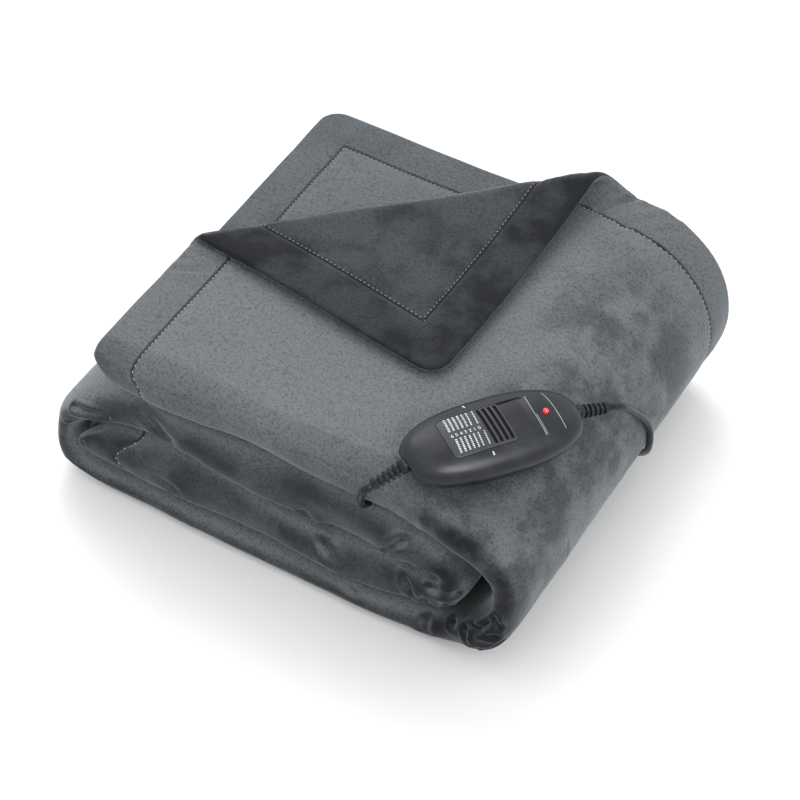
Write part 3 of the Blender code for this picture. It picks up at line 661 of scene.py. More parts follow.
def cutLines(starts, sections):
    # the sections' own steps, and closer lines near the cloth's edges and along its stitches
    lines = [0.0]
    for index, section in enumerate(sections):
        for step in range(1, section["steps"] + 1):
            share = step / section["steps"]
            lines.append(starts[index] + (starts[index + 1] - starts[index]) * share)
    total = starts[-1]
    near = [0.0005, 0.0013, 0.0026, 0.0042, 0.0150, 0.0240]
    for step in (-0.0042, -0.0017, -0.0007, 0, 0.0007, 0.0017, 0.0042):
        near.append(cloth["hemBand"] + step)
    for value in near:
        lines += [value, total - value]
    lines = sorted(lines)
    kept = [lines[0]]
    wanted = {round(value, 6) for value in near} | {round(total - value, 6) for value in near}
    for line in lines[1:]:
        if line - kept[-1] > 0.0011:
            kept.append(line)
        elif round(line, 6) in wanted and round(kept[-1], 6) not in wanted and kept[-1] > 0:
            kept[-1] = line
        elif round(line, 6) in wanted and line - kept[-1] > 0.0004:
            kept.append(line)
    kept[-1] = total
    return kept


def cutCornerLines(bm):
    # cuts along the turned corner's fold, so that the sheet bends cleanly there
    for share in (0.0, 0.17, 0.33, 0.5, 0.67, 0.83, 1.0):
        lineEnds = []
        for along in (-0.02, cornerLength + 0.02):
            away = math.pi * cornerRadius(along) * share
            point = corner["start"] + cornerLine * along + cornerAway * away
            a = rollStarts[topPanel] + cloth["rightTurn"] - point.x
            hem = outerHem(a)
            b = strip[0]["length"] * (hem - point.y) / (hem - frontFold)
            lineEnds.append(Vector((a, b, 0)))
        faces = []
        for face in bm.faces:
            middle = face.calc_center_median()
            if middle.x > rollStarts[topPanel] and middle.y < stripStarts[1]:
                faces.append(face)
        edges = {edge for face in faces for edge in face.edges}
        verts = {vert for face in faces for vert in face.verts}
        across = (lineEnds[1] - lineEnds[0]).cross(Vector((0, 0, 1)))
        bmesh.ops.bisect_plane(
            bm, geom=[*faces, *edges, *verts], plane_co=lineEnds[0], plane_no=across, dist=4e-4
        )


def nearCrease(point, margin):
    for start, run, squared, width, _ in creaseLines:
        away = besideCrease(point - start, run, squared)[1]
        if away < creaseShape["refined"] * width + margin:
            return True
    return False


def refineAtCreases(bm, middle):
    # cuts the outer faces beside each crease smaller until they can follow it
    for largest in (0.0036, 0.0018):
        edges = set()
        for face in bm.faces:
            centre = face.calc_center_median()
            if centre.z < middle or edgeDistance(centre.x, centre.y) < 0.002:
                continue
            longest = max(edge.calc_length() for edge in face.edges)
            if longest > largest and nearCrease(fold(centre.x, centre.y, 0.0035), longest / 2):
                edges.update(edge for edge in face.edges if edge.calc_length() > 0.6 * largest)
        bmesh.ops.subdivide_edges(bm, edges=list(edges), cuts=1, use_grid_fill=True)


# How dark the cloth is painted in each place, from 0 to 1: the pile's lie, with painted shade on
# front faces, under overhangs, in hollows and round the handset
pile = {
    "front": 0.76, "topPanelFront": 0.45, "underShade": 0.34, "hemBand": 0.14, "turnedBack": 0.76,
    "lowerSheets": 0.20, "insideTurnShade": 0.55,
    "lowCornerShade": 0.45, "cornerShadePlace": Vector((0.305, 0.0, 0.030)), "cornerShadeReach": 0.035,
    "nearHandsetShadow": 0.50, "behindHandsetShadow": 0.20, "handsetShadowReach": 0.09,
}


def napAndShadeDepth(a, b, side, normal, point):
    # 0 where the pile lies down and looks light, 1 where it opens and looks dark; painted shade is
    # added on top
    panel, sheet = findSection(rollStarts, a)[0], findSection(stripStarts, b)[0]
    topSheet = panel == topPanel and sheet == 0
    # faces turned to the front are darker for the pile's lie and for painted shade; faces turned
    # down get painted shade
    front, underShade = smoothStep(0.42, 0.97, -normal.y), smoothStep(0.0, 0.7, -normal.z)
    if panel == topPanel:
        front = pile["topPanelFront"] * smoothStep(0.70, 1.0, -normal.y)
    depth = pile["front"] * front + pile["underShade"] * underShade * smoothStep(0.1, 0.5, -normal.y)
    depth += pile["hemBand"] * (1 - smoothStep(0.028, 0.035, edgeDistance(a, b)))
    if topSheet and side < 0:
        depth += pile["turnedBack"]
    elif panel == topPanel and sheet != 0 and normal.z > 0.5:
        depth += pile["lowerSheets"]
    # painted shade on the inside of the right turn
    elif panel == rightTurnPanel and side < 0:
        depth += pile["insideTurnShade"]
    rollPoint = point + rollCorner
    # painted shade in the crumpled lower corner at the right
    depth += pile["lowCornerShade"] * fall((rollPoint - pile["cornerShadePlace"]).length, pile["cornerShadeReach"])
    # painted contact shadow round the handset, strongest along its near side
    place = rollToHandset @ rollPoint
    level = math.hypot(place.x / (handset["length"] / 2), place.y / (handset["width"] / 2))
    if topSheet and side > 0:
        beside = pile["nearHandsetShadow"] if place.y < 0 else pile["behindHandsetShadow"]
        depth += beside * fall(level - 1.0, pile["handsetShadowReach"])
    return min(depth, 1.0)


def makeBlanket():
    aLines, bLines = cutLines(rollStarts, roll), cutLines(stripStarts, strip)
    columns, rows = len(aLines) - 1, len(bLines) - 1
    bm = bmesh.new()
    bmesh.ops.create_grid(bm, x_segments=columns, y_segments=rows, size=1)
    for vert in bm.verts:
        column = round((vert.co.x + 1) / 2 * columns)
        row = round((vert.co.y + 1) / 2 * rows)
        vert.co = (aLines[column], bLines[row], 0)
    cutCornerLines(bm)
    bmesh.ops.solidify(bm, geom=list(bm.faces), thickness=cloth["thickness"])
    middle = sum(vert.co.z for vert in bm.verts) / len(bm.verts)
    refineAtCreases(bm, middle)
    flatPlaces = []
    for vert in bm.verts:
        a, b = vert.co.x, vert.co.y
        side = math.copysign(1.0, vert.co.z - middle)
        flatPlaces.append((a, b, side))
        vert.co = drape(a, b, side) - rollCorner
    bmesh.ops.recalc_face_normals(bm, faces=bm.faces)
    bm.normal_update()
    places, napAndShadeDepths = [], []
    for vert, (a, b, side) in zip(bm.verts, flatPlaces):
        places += [a, b, edgeDistance(a, b)]
        napAndShadeDepths.append(napAndShadeDepth(a, b, side, vert.normal, vert.co))
    blanket = addMesh("folded_cloth", bm, "plush", "blanket", sharp=180)
    blanket.data.attributes.new("clothPlace", "FLOAT_VECTOR", "POINT").data.foreach_set(
        "vector", places
    )
    blanket.data.attributes.new("napAndShadeDepth", "FLOAT", "POINT").data.foreach_set("value", napAndShadeDepths)
    return blanket


blanket = makeBlanket()
clothFaces = len(blanket.data.polygons)
print(f"cloth folded from {clothWidth:.3f} by {clothLength:.3f} m, {clothFaces} faces")


# Stitches of the hem, one small bead of thread each, on both faces of the cloth
stitches = {
    "pitch": 0.0036, "length": 0.0022, "radius": 0.00042, "inset": 0.0012, "lift": 0.7,
    "underside": 0.6,
}


def makeStitches():
    bm = bmesh.new()
    low = cloth["hemBand"]
    highA, highB = clothLength - low, clothWidth - low
    corners = [Vector(spot) for spot in ((low, low), (highA, low), (highA, highB), (low, highB))]
    for start, end in zip(corners, corners[1:] + corners[:1]):
        count = round((end - start).length / stitches["pitch"])
        step = (end - start) / count
        inset = Vector((-step.y, step.x)).normalized() * stitches["inset"]
        for index in range(count):
            spot = start + step * index + inset
            ahead = spot + step * 0.5
            for side in (-1, 1):
                place, other = drape(*spot, side), drape(*ahead, side)
                along = (other - place).normalized()
                inward = drape(*spot, -side)
                out = (place - inward).normalized()
                across = out.cross(along).normalized()
                out = along.cross(across)
                turn = Matrix((along, across, out)).transposed()
                thick = stitches["radius"] * (1.0 if side > 0 else stitches["underside"])
                size = Matrix.Diagonal((stitches["length"] / 2, thick, thick))
                matrix = (turn @ size).to_4x4()
                matrix.translation = place + out * stitches["radius"] * stitches["lift"]
                matrix.translation -= rollCorner
                matrix.translation.z = max(matrix.translation.z, thick)
                bmesh.ops.create_icosphere(bm, subdivisions=1, radius=1, matrix=matrix)
    return addMesh("hem_stitches", bm, "plush", sharp=180)


hemStitches = makeStitches()
print(f"hem stitched, {len(hemStitches.data.polygons)} faces")


# The handset's two shell halves
shell = {"plan": 0.74, "outline": 0.80, "dome": 0.78, "segments": 96, "rings": 48}
channel = {
    "from": -0.0385, "to": 0.0270, "rampEnd": 0.0296, "width": 0.0318, "middle": 0.0018,
    "depth": 0.0013, "leftCorner": 0.0048, "rightCorner": 0.0012, "top": 0.0262,
}
slide = {
    "length": 0.0470, "travel": 0.0180, "clearance": 0.0004, "thickness": 0.0011, "slots": 4,
    "slotDepth": 0.0009, "slotWidth": 0.0024, "slotPitch": 0.0042, "firstSlot": 0.0026,
    "slotNear": 0.0020, "slotFar": 0.0009, "lift": 0.0001, "edge": 0.0004, "blockPlace": 0.0240,
}
lamp = {"place": Vector((0.0385, 0.0009)), "radius": 0.0022, "height": 0.0238, "cutHeight": 0.0240}


def roundedPower(value, power):
    return math.copysign(abs(value) ** power, value)


def surfaceHeight(u, v):
    # the cover's own outer height above the handset's underside
    across = 2 / shell["outline"]
    plan = (abs(u) * 2 / handset["length"]) ** across + (abs(v) * 2 / handset["width"]) ** across
    level = min(plan, 1.0) ** (1 / across / shell["plan"])
    rise = max(1 - level ** 2, 0.0) ** (shell["dome"] / 2)
    return handset["baseHeight"] + handset["coverHeight"] * rise


def floorHeight(u, v):
    # the channel's floor clears the slide's underside at every place along its travel
    return surfaceHeight(max(u - slide["travel"], channel["from"]), v) - channel["depth"]


def wholeOf(bm):
    return [*bm.verts, *bm.edges, *bm.faces]


def closeCut(bm):
    rim = [edge for edge in bm.edges if edge.is_boundary]
    bmesh.ops.contextual_create(bm, geom=rim)


def makeShellHalf(height, side):
    bm = bmesh.new()
    bmesh.ops.create_uvsphere(
        bm, u_segments=shell["segments"], v_segments=shell["rings"], radius=1
    )
    for vert in bm.verts:
        turn = math.atan2(vert.co.y, vert.co.x)
        rise = math.asin(max(-1.0, min(1.0, vert.co.z)))
        plan = roundedPower(math.cos(rise), shell["plan"])
        u = handset["length"] / 2 * roundedPower(math.cos(turn), shell["outline"]) * plan
        v = handset["width"] / 2 * roundedPower(math.sin(turn), shell["outline"]) * plan
        vert.co = (u, v, height * roundedPower(math.sin(rise), shell["dome"]))
    bmesh.ops.bisect_plane(
        bm, geom=wholeOf(bm), dist=1e-7, plane_co=(0, 0, side * handset["partingGap"] / 2),
        plane_no=(0, 0, -side), clear_outer=True,
    )
    closeCut(bm)
    bmesh.ops.translate(bm, verts=bm.verts, vec=(0, 0, handset["baseHeight"]))
    for end, way in ((-1, handset["heaterBootWay"]), (1, handset["mainsBootWay"])):
        bmesh.ops.bisect_plane(
            bm, geom=wholeOf(bm), dist=1e-7, plane_co=(end * seat, 0, seatHeight), plane_no=way,
            clear_outer=True,
        )
        closeCut(bm)
    bmesh.ops.recalc_face_normals(bm, faces=bm.faces)
    return bm


def makeBlock(size, centre, leftBevel=0.0, rightBevel=0.0):
    # a box with its upright edges rounded, those on the left and right by different radii
    bm = bmesh.new()
    bmesh.ops.create_cube(bm, size=1)
    bmesh.ops.scale(bm, verts=bm.verts, vec=size)
    for side, bevel in ((-1, leftBevel), (1, rightBevel)):
        if bevel:
            upright = []
            for edge in bm.edges:
                start, end = edge.verts[0].co, edge.verts[1].co
                atSide = min(start.x * side, end.x * side) > 0.4999 * size[0]
                if atSide and abs(start.z - end.z) > 1e-6:
                    upright.append(edge)
            bmesh.ops.bevel(
                bm, geom=upright, offset=bevel, segments=6, affect="EDGES", profile=0.5,
                material=-1,
            )
    bmesh.ops.translate(bm, verts=bm.verts, vec=centre)
    return bm


def cutAcross(bm, places, axis):
    # adds a line of edges at each place along u (axis 0) or v (axis 1)
    for place in places:
        point, way = Vector((0, 0, 0)), Vector((0, 0, 0))
        point[axis], way[axis] = place, 1
        bmesh.ops.bisect_plane(bm, geom=wholeOf(bm), dist=1e-6, plane_co=point, plane_no=way)


def carve(item, cutters):
    # cuts the shapes out of the piece and keeps the result as its own mesh
    for bm in cutters:
        bmesh.ops.recalc_face_normals(bm, faces=bm.faces)
        mesh = bpy.data.meshes.new("cutter")
        bm.to_mesh(mesh)
        bm.free()
        cutter = bpy.data.objects.new("cutter", mesh)
        scene.collection.objects.link(cutter)
        boolean = item.modifiers.new("cut", "BOOLEAN")
        boolean.operation = "DIFFERENCE"
        boolean.object = cutter
        graph = bpy.context.evaluated_depsgraph_get()
        result = bpy.data.meshes.new_from_object(item.evaluated_get(graph))
        item.modifiers.clear()
        item.data = result
        bpy.data.objects.remove(cutter)


def finishOnHandset(item, sharp=35):
    bm = bmesh.new()
    bm.from_mesh(item.data)
    bmesh.ops.transform(bm, matrix=handsetPlace, verts=bm.verts)
    bm.to_mesh(item.data)
    bm.free()
    item.data.shade_smooth()
    item.data.set_sharp_from_angle(angle=math.radians(sharp))
    return item


lowerShell = addMesh(
    "handset_lower_shell", makeShellHalf(handset["baseHeight"], -1), "shell_plastic",
    "handset_base",
)
finishOnHandset(lowerShell)

upperShell = addMesh(
    "handset_upper_shell", makeShellHalf(handset["coverHeight"], 1), "shell_plastic",
    "handset_cover",
)


def makeChannelCutter():
    length, height = channel["to"] - channel["from"], 0.0100
    bm = makeBlock(
        (length, channel["width"], height),
        (channel["from"] + length / 2, channel["middle"], channel["top"] - height / 2),
        channel["leftCorner"], channel["rightCorner"],
    )
    cutAcross(bm, [0.002 * step for step in range(-7, 10)], 1)
    cutAcross(bm, [0.004 * step for step in range(-9, 7)], 0)
    for vert in bm.verts:
        u, v, w = vert.co
        if w < channel["top"] - height / 2:
            vert.co.z = floorHeight(u, v)
        elif u > channel["to"] - 0.0001:
            # the right end is a ramp up to the first line across the cover
            rise = surfaceHeight(channel["rampEnd"], v) - floorHeight(u, v)
            run = channel["rampEnd"] - channel["to"]
            vert.co.x += run * (channel["top"] - floorHeight(u, v)) / rise
    return bm


def makeLampCutter():
    bm = bmesh.new()
    bmesh.ops.create_cone(
        bm, cap_ends=True, segments=32, radius1=lamp["radius"] + jointGap,
        radius2=lamp["radius"] + jointGap, depth=0.008,
    )
    bmesh.ops.translate(bm, verts=bm.verts, vec=(*lamp["place"], lamp["cutHeight"]))
    return bm


carve(upperShell, [makeChannelCutter(), makeLampCutter()])
finishOnHandset(upperShell)
print(f"handset shells made, {len(upperShell.data.polygons)} faces")


def makeSlide():
    start = channel["from"] + slide["clearance"]
    end = start + slide["length"]
    width = channel["width"] - 2 * slide["clearance"]
    near, far = channel["middle"] - width / 2, channel["middle"] + width / 2
    bm = makeBlock(
        (slide["length"], width, 0.0020),
        ((start + end) / 2, channel["middle"], slide["blockPlace"]),
        channel["leftCorner"] - slide["clearance"], channel["rightCorner"],
    )
    first = end - slide["firstSlot"]
    slotPlaces = [first - slide["slotPitch"] * count for count in range(slide["slots"])]
    half = slide["slotWidth"] / 2
    slotNear, slotFar = near + slide["slotNear"], far - slide["slotFar"]
    lines = [start + 0.003 * step for step in range(2, 10)]
    cutAcross(bm, [place + side * half for place in slotPlaces for side in (-1, 1)] + lines, 0)
    cutAcross(bm, [0.0022 * step for step in range(-5, 8)] + [slotNear, slotFar], 1)
    for vert in bm.verts:
        top = surfaceHeight(vert.co.x, vert.co.y) + slide["lift"]
        vert.co.z = top if vert.co.z > slide["blockPlace"] else top - slide["thickness"]
    bm.normal_update()
    tops = [face for face in bm.faces if face.normal.z > 0.7]
    slotFaces = []
    for face in tops:
        middle = face.calc_center_median()
        inSlot = any(abs(middle.x - place) < half for place in slotPlaces)
        if inSlot and slotNear < middle.y < slotFar:
            slotFaces.append(face)
    rim = [edge for edge in bm.edges if sum(face in tops for face in edge.link_faces) == 1]
    bmesh.ops.bevel(
        bm, geom=rim, offset=slide["edge"], segments=2, affect="EDGES", profile=0.5, material=-1,
        clamp_overlap=True,
    )
    slotFaces = [face for face in slotFaces if face.is_valid]
    sunk = bmesh.ops.extrude_face_region(bm, geom=slotFaces)["geom"]
    bmesh.ops.delete(bm, geom=slotFaces, context="FACES")
    floor = [vert for vert in sunk if isinstance(vert, bmesh.types.BMVert)]
    # the slots' floors and walls take the second material, near-black painted shade
    for face in {face for vert in floor for face in vert.link_faces}:
        face.material_index = 1
    bmesh.ops.translate(bm, verts=floor, vec=(0, 0, -slide["slotDepth"]))
    bmesh.ops.recalc_face_normals(bm, faces=bm.faces)
    item = addMesh("heat_slide", bm, "slide_plastic", "slide_switch", body="slide")
    return finishOnHandset(item)


heatSlide = makeSlide()

# The scale printed on the slide: two blocks of short bars, and numbers between them
scale = {
    "lines": (-0.0322, -0.0289, -0.0256, -0.0223, -0.0190, -0.0157, -0.0111), "bars": 8,
    "barSize": (0.0015, 0.00080, 0.00012),
    "blocks": (0.0116, -0.0053), "barPitch": 0.00138, "slant": 0.00015, "narrowing": 0.06,
    "lift": 0.00016,
}
numbers = {
    "text": "6 5 4 3 2 1 0", "size": 0.0034, "thickness": 0.00006, "width": 0.0222,
    "place": (-0.0222, 0.0027, 0),
}


def layOnTop(bm, lift):
    # bends flat marks onto the cover's surface
    for vert in bm.verts:
        vert.co.z += surfaceHeight(vert.co.x, vert.co.y) + lift


def makeScale():
    bm = bmesh.new()
    for line, u in enumerate(scale["lines"]):
        for block in scale["blocks"]:
            for bar in range(scale["bars"]):
                v = block + (bar - (scale["bars"] - 1) / 2) * scale["barPitch"]
                place = Matrix.Translation((u + scale["slant"] * bar, v, 0))
                width = scale["barSize"][0] * (1.0 - scale["narrowing"] * line)
                matrix = place @ Matrix.Diagonal((width, *scale["barSize"][1:], 1))
                bmesh.ops.create_cube(bm, size=1, matrix=matrix)
    layOnTop(bm, scale["lift"])
    return finishOnHandset(addMesh("slide_scale", bm, "slide_plastic", body="slide"))


def makeNumbers():
    text = bpy.data.curves.new("numbers", "FONT")
    text.body = numbers["text"]
    text.size = numbers["size"]
    text.align_x = "CENTER"
    text.align_y = "CENTER"
    text.extrude = numbers["thickness"]
    text.resolution_u = 3
    letters = bpy.data.objects.new("numbers", text)
    scene.collection.objects.link(letters)
    graph = bpy.context.evaluated_depsgraph_get()
    mesh = bpy.data.meshes.new_from_object(letters.evaluated_get(graph))
    bpy.data.objects.remove(letters)
    bm = bmesh.new()
    bm.from_mesh(mesh)
    bmesh.ops.remove_doubles(bm, verts=bm.verts, dist=1e-6)
    bmesh.ops.recalc_face_normals(bm, faces=bm.faces)
    width = max(vert.co.x for vert in bm.verts) - min(vert.co.x for vert in bm.verts)
    bmesh.ops.scale(bm, verts=bm.verts, vec=(numbers["width"] / width, 1, 1))
    bmesh.ops.translate(bm, verts=bm.verts, vec=numbers["place"])
    layOnTop(bm, scale["lift"])
    return finishOnHandset(addMesh("slide_numbers", bm, "slide_plastic", body="slide"))


slideScale, slideNumbers = makeScale(), makeNumbers()


# Raised lines across the cover beside the lamp, and the two index marks beside the slide
def makeRib(u, near, far, width, height, bow):
    bm = bmesh.new()
    bmesh.ops.create_cube(bm, size=1)
    bmesh.ops.scale(bm, verts=bm.verts, vec=(width, far - near, height))
    bmesh.ops.translate(bm, verts=bm.verts, vec=(0, (near + far) / 2, 0))
    cutAcross(bm, [near + (far - near) * step / 24 for step in range(1, 24)], 1)
    for vert in bm.verts:
        vert.co.x += u - bow * max(vert.co.y / far, 0.0) ** 2
    layOnTop(bm, 0.0)
    return bm


def joinMeshes(parts):
    whole = bmesh.new()
    for part in parts:
        mesh = bpy.data.meshes.new("part")
        part.to_mesh(mesh)
        part.free()
        whole.from_mesh(mesh)
        bpy.data.meshes.remove(mesh)
    return whole


coverLines = finishOnHandset(addMesh("cover_lines", joinMeshes([
    makeRib(0.0299, -0.0160, 0.0168, 0.00060, 0.00040, -0.0010),
    makeRib(0.0463, -0.0146, 0.0165, 0.00060, 0.00040, 0.0018),
    makeRib(0.0311, -0.0156, 0.0010, 0.00040, 0.00030, 0.0),
]), "shell_plastic"))
indexMarks = joinMeshes([
    makeBlock((0.0010, 0.0026, 0.0003), (-0.0118, place, 0)) for place in (-0.0176, 0.0232)
])
layOnTop(indexMarks, 0.0)
indexMarks = finishOnHandset(addMesh("index_marks", indexMarks, "shell_plastic"))


def makeLamp():
    bm = bmesh.new()
    bmesh.ops.create_uvsphere(bm, u_segments=32, v_segments=20, radius=lamp["radius"])
    for vert in bm.verts:
        if vert.co.z < 0:
            vert.co.z *= 0.6
    bmesh.ops.translate(bm, verts=bm.verts, vec=(*lamp["place"], lamp["height"]))
    return finishOnHandset(addMesh("power_light", bm, "lamp_lens", "power_lamp"))


powerLight = makeLamp()
print("slide, marks and lamp made")


# Turned pieces: (length along the piece, radius) rows
def turnProfile(rows, start, way, steps=32):
    bm = bmesh.new()
    verts = [bm.verts.new((radius, 0, length)) for length, radius in rows]
    edges = [bm.edges.new(pair) for pair in zip(verts, verts[1:])]
    bmesh.ops.spin(
        bm, geom=[*verts, *edges], cent=(0, 0, 0), axis=(0, 0, 1), angle=2 * math.pi,
        steps=steps, use_merge=True,
    )
    bmesh.ops.remove_doubles(bm, verts=bm.verts, dist=1e-6)
    bmesh.ops.recalc_face_normals(bm, faces=bm.faces)
    place = Matrix.Translation(start) @ way.to_track_quat("Z", "Y").to_matrix().to_4x4()
    bmesh.ops.transform(bm, matrix=place, verts=bm.verts)
    return bm


def bootProfile(length, thick, thin, ribs):
    rows = [(0.0, 0.0), (0.0, thick * 0.94), (0.0004, thick), (0.18 * length, thick)]
    pitch = 0.74 * length / ribs
    for rib in range(ribs):
        foot = 0.19 * length + pitch * rib
        taper = thick + (thin - thick) * (foot / length)
        rows += [
            (foot + 0.06 * pitch, taper * 0.97), (foot + 0.10 * pitch, taper * 0.62),
            (foot + 0.46 * pitch, taper * 0.62), (foot + 0.52 * pitch, taper * 0.97),
            (foot + 0.60 * pitch, taper * 1.02), (foot + 0.90 * pitch, taper * 1.01),
        ]
    return [*rows, (length - 0.0004, thin), (length, thin * 0.93), (length, 0.0)]


boot = bootProfile(cords["bootLength"], cords["bootRadius"], cords["bootTip"], 5)
heaterBoot = addMesh(
    "relief_to_cloth", turnProfile(boot, heaterBootStart, heaterBootWay), "boot_rubber",
    "heater_boot",
)
mainsBoot = addMesh(
    "relief_to_mains", turnProfile(boot, mainsBootStart, mainsBootWay), "boot_rubber",
    "mains_boot",
)

# The plug lies flat behind the roll, with its pins away from the coil
plug = {
    "length": 0.0355, "width": 0.0353, "height": 0.0137, "pinLength": 0.0190,
    "pinRadius": 0.0020, "pinSpacing": 0.0186, "sleeve": 0.0100, "narrowing": 0.58,
    "flattening": 0.14, "edge": 0.0034,
}
plugStart = cords["plugStart"] - rollCorner


def makePlugBody():
    bm = bmesh.new()
    bmesh.ops.create_cube(bm, size=1)
    bmesh.ops.scale(bm, verts=bm.verts, vec=(plug["length"], plug["width"], plug["height"]))
    cutAcross(bm, [plug["length"] * share for share in (-0.32, -0.1, 0.1, 0.3)], 0)
    for vert in bm.verts:
        share = smoothStep(-0.2, 0.5, vert.co.x / plug["length"])
        vert.co.y *= 1 - plug["narrowing"] * share
        vert.co.z *= 1 - plug["flattening"] * share
    bm.normal_update()
    closed = [edge for edge in bm.edges if len(edge.link_faces) == 2]
    rim = [edge for edge in closed if edge.calc_face_angle() > 1.0]
    bmesh.ops.bevel(
        bm, geom=rim, offset=plug["edge"], segments=5, affect="EDGES", profile=0.5, material=-1
    )
    bmesh.ops.translate(bm, verts=bm.verts, vec=plugStart - Vector((plug["length"] / 2, 0, 0)))
    return addMesh("plug_housing", bm, "plug_plastic", "plug_body")


def makePin(side, sleeve):
    radius, length = plug["pinRadius"], plug["pinLength"]
    start = plugStart + Vector((-plug["length"] - jointGap, side * plug["pinSpacing"] / 2, 0))
    if sleeve:
        end = plug["sleeve"]
        rows = [(0, 0), (0, radius), (end - 0.0002, radius), (end, radius - 0.0002), (end, 0)]
    else:
        foot = plug["sleeve"] + 0.0001
        rows = [
            (foot, 0), (foot, radius - 0.0001), (length - 0.0014, radius - 0.0001),
            (length - 0.0004, radius - 0.0006), (length, radius - 0.0013), (length, 0),
        ]
    return turnProfile(rows, start, Vector((-1, 0, 0)), 24)


plugBody = makePlugBody()
pinSleeves = addMesh(
    "pin_sleeves", joinMeshes([makePin(side, True) for side in (-1, 1)]), "plug_plastic"
)
pinContacts = addMesh(
    "pin_contacts", joinMeshes([makePin(side, False) for side in (-1, 1)]), "pin_metal",
    "plug_pin_1", "plug_pin_2",
)
plugBoot = addMesh(
    "relief_to_plug",
    turnProfile(
        bootProfile(cords["plugBootLength"], cords["bootRadius"], cords["plugBootTip"], 4),
        plugStart + Vector((jointGap, 0, 0)), Vector((1, 0, 0)),
    ),
    "plug_plastic", "plug_boot",
)


# The tie that holds the coil's turns together
tie = {
    "inner": 0.0230, "outer": 0.0430, "top": 0.0142, "width": 0.0070, "wall": 0.0008,
    "angle": math.radians(35), "squareness": 0.45, "lift": 0.0006,
}


def makeTie():
    bm = bmesh.new()
    bmesh.ops.create_circle(bm, cap_ends=False, segments=40, radius=1)
    halfLength = (tie["outer"] - tie["inner"]) / 2
    halfHeight = tie["top"] / 2 - 0.0004
    for vert in bm.verts:
        x = roundedPower(vert.co.x, tie["squareness"]) * halfLength
        z = roundedPower(vert.co.y, tie["squareness"]) * halfHeight
        vert.co = (x, -tie["width"] / 2, z)
    ring = bmesh.ops.extrude_edge_only(bm, edges=list(bm.edges))["geom"]
    moved = [item for item in ring if isinstance(item, bmesh.types.BMVert)]
    bmesh.ops.translate(bm, verts=moved, vec=(0, tie["width"], 0))
    bmesh.ops.recalc_face_normals(bm, faces=bm.faces)
    bmesh.ops.solidify(bm, geom=list(bm.faces), thickness=-tie["wall"])
    bmesh.ops.recalc_face_normals(bm, faces=bm.faces)
    middle = (tie["inner"] + tie["outer"]) / 2
    centre = Vector((*cords["coilCentre"], tie["top"] / 2 + tie["lift"])) - rollCorner
    reach = Vector((math.cos(tie["angle"]), math.sin(tie["angle"]), 0)) * middle
    place = Matrix.Translation(centre + reach) @ Matrix.Rotation(tie["angle"], 4, "Z")
    bmesh.ops.transform(bm, matrix=place, verts=bm.verts)
    return addMesh("coil_strap", bm, "tie_strap", "coil_tie")


coilStrap = makeTie()
print("reliefs, plug and tie made")


# Materials. A Varying is a number that changes over the surface.
class Varying:
    def __init__(self, paint, socket):
        self.paint = paint
        self.socket = socket

    def math(self, operation, first, second=0.0):
        return self.paint.node("Math", {"operation": operation}, {0: first, 1: second})

    def __add__(self, other):
        return self.math("ADD", self, other)

    def __radd__(self, other):
        return self.math("ADD", other, self)

    def __sub__(self, other):
        return self.math("SUBTRACT", self, other)

    def __rsub__(self, other):
        return self.math("SUBTRACT", other, self)

    def __mul__(self, other):
        return self.math("MULTIPLY", self, other)

    def __rmul__(self, other):
        return self.math("MULTIPLY", other, self)

    def size(self):
        return self.math("ABSOLUTE", self)

    def band(self, low, high):
        # 0 below low and 1 above high
        return self.paint.node(
            "MapRange", {"interpolation_type": "SMOOTHSTEP"},
            {"Value": self, "From Min": low, "From Max": high},
        )


class Paint:
    def __init__(self, name, colour, roughness, **constants):
        self.material = bpy.data.materials.new(name)
        self.material.use_nodes = True
        self.tree = self.material.node_tree
        self.shader = self.tree.nodes["Principled BSDF"]
        self.set("Base Color", (*colour, 1))
        self.set("Roughness", roughness)
        for name, value in constants.items():
            self.set(name.replace("_", " "), value)

    def set(self, socket, value):
        self.feed(self.shader.inputs[socket], value)

    def feed(self, socket, value):
        if isinstance(value, Varying):
            self.tree.links.new(value.socket, socket)
        else:
            socket.default_value = value

    def node(self, kind, settings, inputs, output=0):
        made = self.tree.nodes.new("ShaderNode" + kind)
        for name, value in settings.items():
            setattr(made, name, value)
        for name, value in inputs.items():
            self.feed(made.inputs[name], value)
        return Varying(self, made.outputs[output])

    def place(self):
        return self.node("TexCoord", {}, {}, "Object")

    def stretched(self, scale):
        return self.node("Mapping", {}, {"Vector": self.place(), "Scale": scale})

    def cloudy(self, scale, detail, roughness, where=None):
        return self.node("TexNoise", {}, {
            "Vector": where or self.place(), "Scale": scale, "Detail": detail,
            "Roughness": roughness,
        })

    def blend(self, first, second, share):
        ends = [end if isinstance(end, Varying) else (*end, 1) for end in (first, second)]
        return self.node("Mix", {"data_type": "RGBA"}, {0: share, 6: ends[0], 7: ends[1]}, 2)

    def bump(self, height, strength, distance):
        return self.node("Bump", {}, {"Height": height, "Strength": strength, "Distance": distance})


